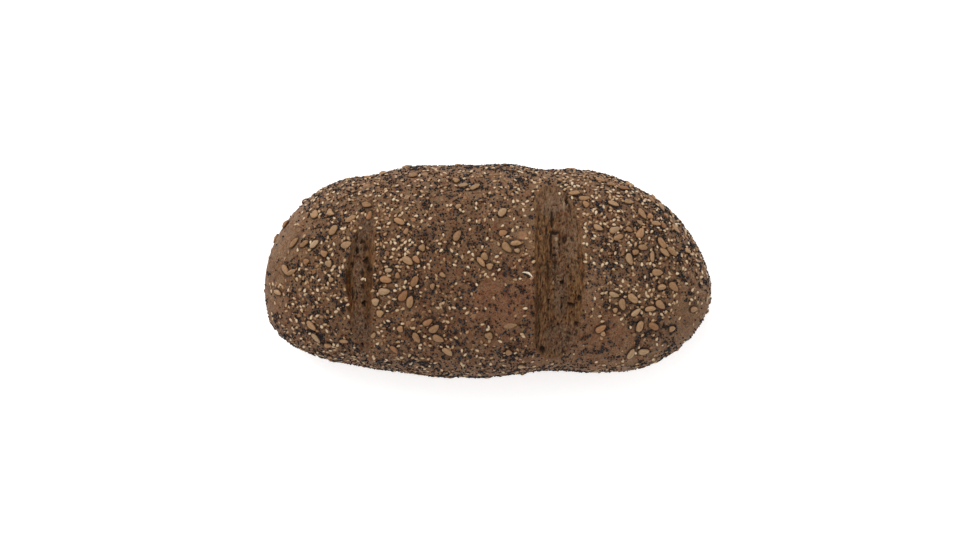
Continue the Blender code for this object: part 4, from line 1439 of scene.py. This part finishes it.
SESAME = SmallSeed("sesame_seeds", (3.05 * MM, 1.7 * MM, 1.05 * MM), 0.74, 0.16, 24)
POPPY = SmallSeed("poppy_seeds", (1.4 * MM, 1.22 * MM, 1.05 * MM), 0.68, 0.5, 38)
BRAN = SmallSeed("bran_flecks", (1.9 * MM, 1.3 * MM, 0.8 * MM), 0.55, 0.3, 62)
SEED_SPREAD = 0.15  # how much a seed's size varies, and each of its sides by itself
SIDE_SPREAD = 0.1
PROUD_SPREAD = 0.13
PROUD_RANGE = (0.3, 0.95)


def scatter_seeds(kind, factor, shapes, seats_of, material):
    """Lays one kind of small seed on its seats, each sunk in by its own amount."""
    points, normals = seats_of
    count = len(points)
    draw = np.random.default_rng(kind.draws)
    heading = draw.normal(0, 1, (count, 3))
    turns = tipped(placements(normals, heading), draw, kind.tilt)
    sizes = factor * np.array(kind.size) * (1 + SEED_SPREAD * draw.uniform(-1, 1, (count, 1)))
    sizes = sizes * (1 + SIDE_SPREAD * draw.uniform(-1, 1, (count, 3)))
    proud = np.clip(draw.normal(kind.proud, PROUD_SPREAD, (count, 1)), *PROUD_RANGE)
    points = points + normals * (sizes[:, 2:] * (proud - 0.5))
    shades = draw.uniform(0, 1, count)
    kinds = draw.integers(0, len(shapes), count)
    return scatter(kind.name, shapes, kinds, points, turns, sizes, material, shades)


# Flakes of grain baked into the crust: X and Y in mm, turn in degrees, length and width in mm, and
# tone from 0, dull grey-brown, to 1, almost white.
FLAKES = (
    (23.3, 24.4, 10, 7.3, 6.8, 0.45), (15, -37, 8, 9, 3.4, 0.4), (-43.1, 66.4, 0, 5.6, 4.4, 0.5),
    (-55.6, 51, 20, 4.2, 3.2, 0.7), (-16, 49.5, 20, 3.6, 3.2, 0.45), (-51, 35.4, -20, 3.4, 3, 1.0),
    (-40.5, 31.7, 0, 3.2, 2.6, 0.8), (-69.2, 11.9, 30, 4.2, 3.6, 0.3), (-54.6, -35, 60, 4, 3, 0.35),
    (-129.8, -30.6, 0, 3.2, 2.6, 0.5), (-119.4, -0.6, 40, 4.2, 3.2, 0.3),
    (-101.6, 58.6, 0, 3.2, 2.4, 0.5), (-83.6, 58.3, 10, 5.2, 3.2, 0.75), (94.7, -8.2, 0, 4.2, 3.4, 0.2),
    (114, -5.8, 50, 3, 2.6, 0.4), (100.3, -44.2, 0, 3.2, 2.6, 0.4), (104.6, 33.2, -10, 5.4, 2.8, 0.55),
    (92.2, 11.9, 30, 3.4, 2.6, 0.45), (-69.2, 35.9, -30, 3.8, 3, 0.5), (-74.2, -48, 15, 4.4, 3.2, 0.2),
    (-10.2, -31.4, 40, 5, 3.2, 0.45), (40, 63, 5, 3.4, 2.4, 0.6), (-2, 51, -15, 3, 2.4, 0.6),
    (70, -52, 20, 3, 2.2, 0.3),
)  # fmt: skip
FLAKE_THICKNESS = 0.6 * MM
FLAKE_TILT = 0.05
FLAKE_DRAWS = 52

# The curl of husk beside the wide cut: its ends in plan, how far it bulges from the line between them,
# and how far its outer edge stands over the crust half way.
HUSK_FROM = (23.6 * MM, -0.8 * MM)
HUSK_TO = (30.6 * MM, -4.4 * MM)
HUSK_BULGE = 1.1 * MM
HUSK_WIDTH = 1.3 * MM
HUSK_TIP = 0.35  # share of that width at its ends
HUSK_LIFT = 1.3 * MM
HUSK_LEAN = 0.4  # share of that lift which its middle line lacks, and its inner edge twice
HUSK_START = 0.3 * MM  # over the crust at its ends
HUSK_THICKNESS = 0.25 * MM


def make_flakes():
    """The flakes of grain."""
    draw = np.random.default_rng(FLAKE_DRAWS)
    rows = []
    for x, y, turned, length, width, tone in FLAKES:
        point, normal = seats(x * MM, float(angle_above(x * MM, y * MM)))
        rows.append((point, normal, heading_of(turned), (length * MM, width * MM, FLAKE_THICKNESS), tone))
    points, normals, headings, sizes, shades = columns(rows)
    shapes = [seed_shape(flake_form, 18, 10, turn=turn) for turn in FLAKE_SHAPES]
    kinds = draw.integers(0, len(shapes), len(rows))
    turns = tipped(placements(normals, headings), draw, FLAKE_TILT)
    material = hulled_kernel("grain_flake", FLAKE_STOPS)
    return scatter("grain_flakes", shapes, kinds, points, turns, sizes, material, shades)


def make_husk():
    """The pale curl of husk: a strip bent into an arc over the crust."""
    bm = bmesh.new()
    bmesh.ops.create_grid(bm, x_segments=20, y_segments=3, size=1)
    mesh = mesh_of(bm, "husk_curl")
    co = read_points(mesh)
    share = (co[:, 0] + 1) / 2
    start = np.array(HUSK_FROM)
    line = np.array(HUSK_TO) - start
    aside = np.array([-line[1], line[0]]) / np.linalg.norm(line)
    arch = np.sin(math.pi * share)
    offset = HUSK_BULGE * arch + HUSK_WIDTH / 2 * co[:, 1] * (HUSK_TIP + (1 - HUSK_TIP) * arch)
    place = start + share[:, None] * line + offset[:, None] * aside
    out = HUSK_START + HUSK_LIFT * arch * (1 - HUSK_LEAN + HUSK_LEAN * co[:, 1])
    move_points(mesh, skin(place[:, 0], angle_above(place[:, 0], place[:, 1]), out))
    piece = finish_piece(mesh, "husk_curl", dry_husk())
    thicken(piece, HUSK_THICKNESS)
    return piece


# ---- Stage ----
PHOTO_WIDTH = 960  # pixels
PHOTO_MM_PER_PIXEL = 0.69
PHOTO_OFFSET = (8, -1)  # pixels that the loaf's middle lies right of the frame's, and above it
CAMERA_HEIGHT = 6.0
CAMERA_END = 50  # metres that it sees
SENSOR = 36.0  # mm
FLOOR_REACH = 6
FLOOR_GAP = 0.1 * MM  # keeps the floor from lying in the base's own plane
LAMP_PLACE = (-1.3, 2.6, 3.2)
LAMP_SIZE = 3.2


def make_stage(stage):
    """A pale floor lit from below, soft light from the upper left and a camera that looks straight down."""
    bm = bmesh.new()
    bmesh.ops.create_grid(bm, x_segments=1, y_segments=1, size=FLOOR_REACH)
    bmesh.ops.translate(bm, verts=bm.verts, vec=(0, 0, -FLOOR_GAP))
    mesh = mesh_of(bm, "floor")
    material, _, shader = new_material("pale_floor", roughness=0.9, specular=0.0)
    shader.inputs["Base Color"].default_value = (*stage.floor_colour, 1.0)
    shader.inputs["Emission Color"].default_value = (1, 1, 1, 1)
    shader.inputs["Emission Strength"].default_value = stage.glow
    mesh.materials.append(material)
    floor = bpy.data.objects.new("floor", mesh)
    bpy.context.scene.collection.objects.link(floor)

    world = bpy.data.worlds.new("studio")
    world.use_nodes = True
    background = world.node_tree.nodes["Background"]
    background.inputs["Color"].default_value = (1, 1, 1, 1)
    background.inputs["Strength"].default_value = stage.ambient
    bpy.context.scene.world = world

    lamp = bpy.data.lights.new("key", "AREA")
    lamp.shape = "SQUARE"
    lamp.size = LAMP_SIZE
    lamp.energy = stage.key_power
    key = bpy.data.objects.new("key", lamp)
    key.location = LAMP_PLACE
    key.rotation_euler = (-Vector(LAMP_PLACE)).to_track_quat("-Z", "Y").to_euler()
    bpy.context.scene.collection.objects.link(key)

    lens = bpy.data.cameras.new("camera")
    lens.sensor_width = SENSOR
    pixel = PHOTO_MM_PER_PIXEL * MM
    lens.lens = SENSOR * (CAMERA_HEIGHT - GIRTH_HEIGHT) / (PHOTO_WIDTH * pixel)
    lens.clip_end = CAMERA_END
    camera = bpy.data.objects.new("camera", lens)
    camera.location = (-PHOTO_OFFSET[0] * pixel, -PHOTO_OFFSET[1] * pixel, CAMERA_HEIGHT)
    bpy.context.scene.collection.objects.link(camera)
    bpy.context.scene.camera = camera
    bpy.context.scene.view_settings.view_transform = "Standard"


# ---- Settings, operators and panel ----


class SeedSettings(bpy.types.PropertyGroup):
    """How many small seeds lie on the loaf, and how large they are next to their usual size."""

    sesame_count: IntProperty(name="Sesame seeds", description="On the whole loaf", default=1540, min=0)
    poppy_count: IntProperty(name="Poppy seeds", description="On the whole loaf", default=8600, min=0)
    bran_count: IntProperty(name="Flecks of bran", description="On the whole loaf", default=1500, min=0)
    sesame_size: FloatProperty(
        name="Sesame size", description="Next to 3 mm", default=1, min=0.5, max=1.5, subtype="FACTOR"
    )
    poppy_size: FloatProperty(
        name="Poppy size", description="Next to 1.4 mm", default=1, min=0.5, max=1.5, subtype="FACTOR"
    )


class ColourSettings(bpy.types.PropertyGroup):
    """Colours of the crust and the crumb that stand by themselves."""

    bare: FloatVectorProperty(
        name="Bare crust", description="Crust that browned with few seeds on it",
        default=linear("#8f6449")[:3], size=3, subtype="COLOR",
    )  # fmt: skip
    # The colour of the painted shade round each kernel and in the crust's creases.
    socket: FloatVectorProperty(
        name="Sockets", description="Crust close round each kernel",
        default=linear("#2c1c12")[:3], size=3, subtype="COLOR",
    )  # fmt: skip
    # The colour of the painted shade in the crumb's holes, pores and hollows.
    hollow: FloatVectorProperty(
        name="Hollows", description="Holes in the crumb",
        default=linear("#23170f")[:3], size=3, subtype="COLOR",
    )  # fmt: skip


class StageSettings(bpy.types.PropertyGroup):
    """The floor and the light."""

    floor_colour: FloatVectorProperty(
        name="Floor", description="Colour of the floor",
        default=linear("#f6f6f6")[:3], size=3, subtype="COLOR",
    )  # fmt: skip
    glow: FloatProperty(name="Glow", description="Light from the floor itself", default=0.43, min=0)
    ambient: FloatProperty(name="Ambient", description="Soft light all round", default=0.85, min=0)
    key_power: FloatProperty(
        name="Key", description="Soft light at the upper left", default=110, min=0, unit="POWER"
    )


class LOAF_OT_crust(bpy.types.Operator):
    """Make the crust"""

    bl_idname = "loaf.crust"
    bl_label = "Crust"

    def execute(self, context):
        make_crust()
        return {"FINISHED"}


class LOAF_OT_crumb(bpy.types.Operator):
    """Make the torn crumb in both cuts"""

    bl_idname = "loaf.crumb"
    bl_label = "Torn crumb"

    def execute(self, context):
        material = torn_crumb()
        make_crumb(NARROW_CUT, "narrow_cut_crumb", material, NARROW_CUT_PATCHES)
        make_crumb(WIDE_CUT, "wide_cut_crumb", material, WIDE_CUT_PATCHES)
        return {"FINISHED"}


class LOAF_OT_kernels(bpy.types.Operator):
    """Make the sunflower kernels, whole and broken"""

    bl_idname = "loaf.kernels"
    bl_label = "Sunflower kernels"

    def execute(self, context):
        make_kernels()
        return {"FINISHED"}


class LOAF_OT_sesame(bpy.types.Operator):
    """Make the sesame seeds"""

    bl_idname = "loaf.sesame"
    bl_label = "Sesame seeds"

    def execute(self, context):
        seeds = context.scene.loaf_seeds
        shapes = [seed_shape(sesame_form, 8, 6, point=point) for point in SESAME_SHAPES]
        material = small_seed("toasted_sesame", SESAME_STOPS, rim="#6b4426", roughness=0.5, specular=0.4)
        scatter_seeds(SESAME, seeds.sesame_size, shapes, sesame_seats(seeds.sesame_count), material)
        return {"FINISHED"}


class LOAF_OT_poppy(bpy.types.Operator):
    """Make the poppy seeds"""

    bl_idname = "loaf.poppy"
    bl_label = "Poppy seeds"

    def execute(self, context):
        seeds = context.scene.loaf_seeds
        sesame, _ = sesame_seats(seeds.sesame_count)
        material = small_seed("poppy_coat", POPPY_STOPS, rim="#0c0a09", roughness=0.7, specular=0.25)
        seats_of = spread(seeds.poppy_count, POPPY_RULE, sesame)
        scatter_seeds(POPPY, seeds.poppy_size, [poppy_shape()], seats_of, material)
        return {"FINISHED"}


class LOAF_OT_flakes(bpy.types.Operator):
    """Make the flakes of grain, the curl of husk and the flecks of bran"""

    bl_idname = "loaf.flakes"
    bl_label = "Flakes, husk and bran"

    def execute(self, context):
        make_flakes()
        make_husk()
        seeds = context.scene.loaf_seeds
        sesame, _ = sesame_seats(seeds.sesame_count)
        shapes = [seed_shape(chip_form, 8, 5, turn=turn) for turn in CHIP_SHAPES]
        material = small_seed("bran", BRAN_STOPS, rim="#4e3421", roughness=0.8, specular=0.2)
        scatter_seeds(BRAN, 1, shapes, spread(seeds.bran_count, BRAN_RULE, sesame), material)
        return {"FINISHED"}


class LOAF_OT_stage(bpy.types.Operator):
    """Make the floor, the light and the camera"""

    bl_idname = "loaf.stage"
    bl_label = "Stage"

    def execute(self, context):
        make_stage(context.scene.loaf_stage)
        return {"FINISHED"}


OPERATORS = (
    LOAF_OT_stage, LOAF_OT_crust, LOAF_OT_crumb, LOAF_OT_kernels, LOAF_OT_sesame, LOAF_OT_poppy,
    LOAF_OT_flakes,
)  # fmt: skip
SETTINGS = {"loaf_seeds": SeedSettings, "loaf_colours": ColourSettings, "loaf_stage": StageSettings}


class VIEW3D_PT_loaf(bpy.types.Panel):
    """Settings of the loaf, and a button for each group of pieces"""

    bl_label = "Seeded loaf"
    bl_space_type = "VIEW_3D"
    bl_region_type = "UI"
    bl_category = "Loaf"

    def draw(self, context):
        for name, group in SETTINGS.items():
            for key in group.__annotations__:
                self.layout.prop(getattr(context.scene, name), key)
        for operator in OPERATORS:
            self.layout.operator(operator.bl_idname)


CLASSES = (*SETTINGS.values(), *OPERATORS, VIEW3D_PT_loaf)


def register():
    for cls in CLASSES:
        bpy.utils.register_class(cls)
    for name, group in SETTINGS.items():
        setattr(bpy.types.Scene, name, PointerProperty(type=group))


def unregister():
    for name in SETTINGS:
        delattr(bpy.types.Scene, name)
    for cls in reversed(CLASSES):
        bpy.utils.unregister_class(cls)


def main():
    register()
    bpy.ops.loaf.stage()
    bpy.ops.loaf.crust()
    bpy.ops.loaf.crumb()
    bpy.ops.loaf.kernels()
    bpy.ops.loaf.sesame()
    bpy.ops.loaf.poppy()
    bpy.ops.loaf.flakes()


if __name__ == "__main__":
    main()
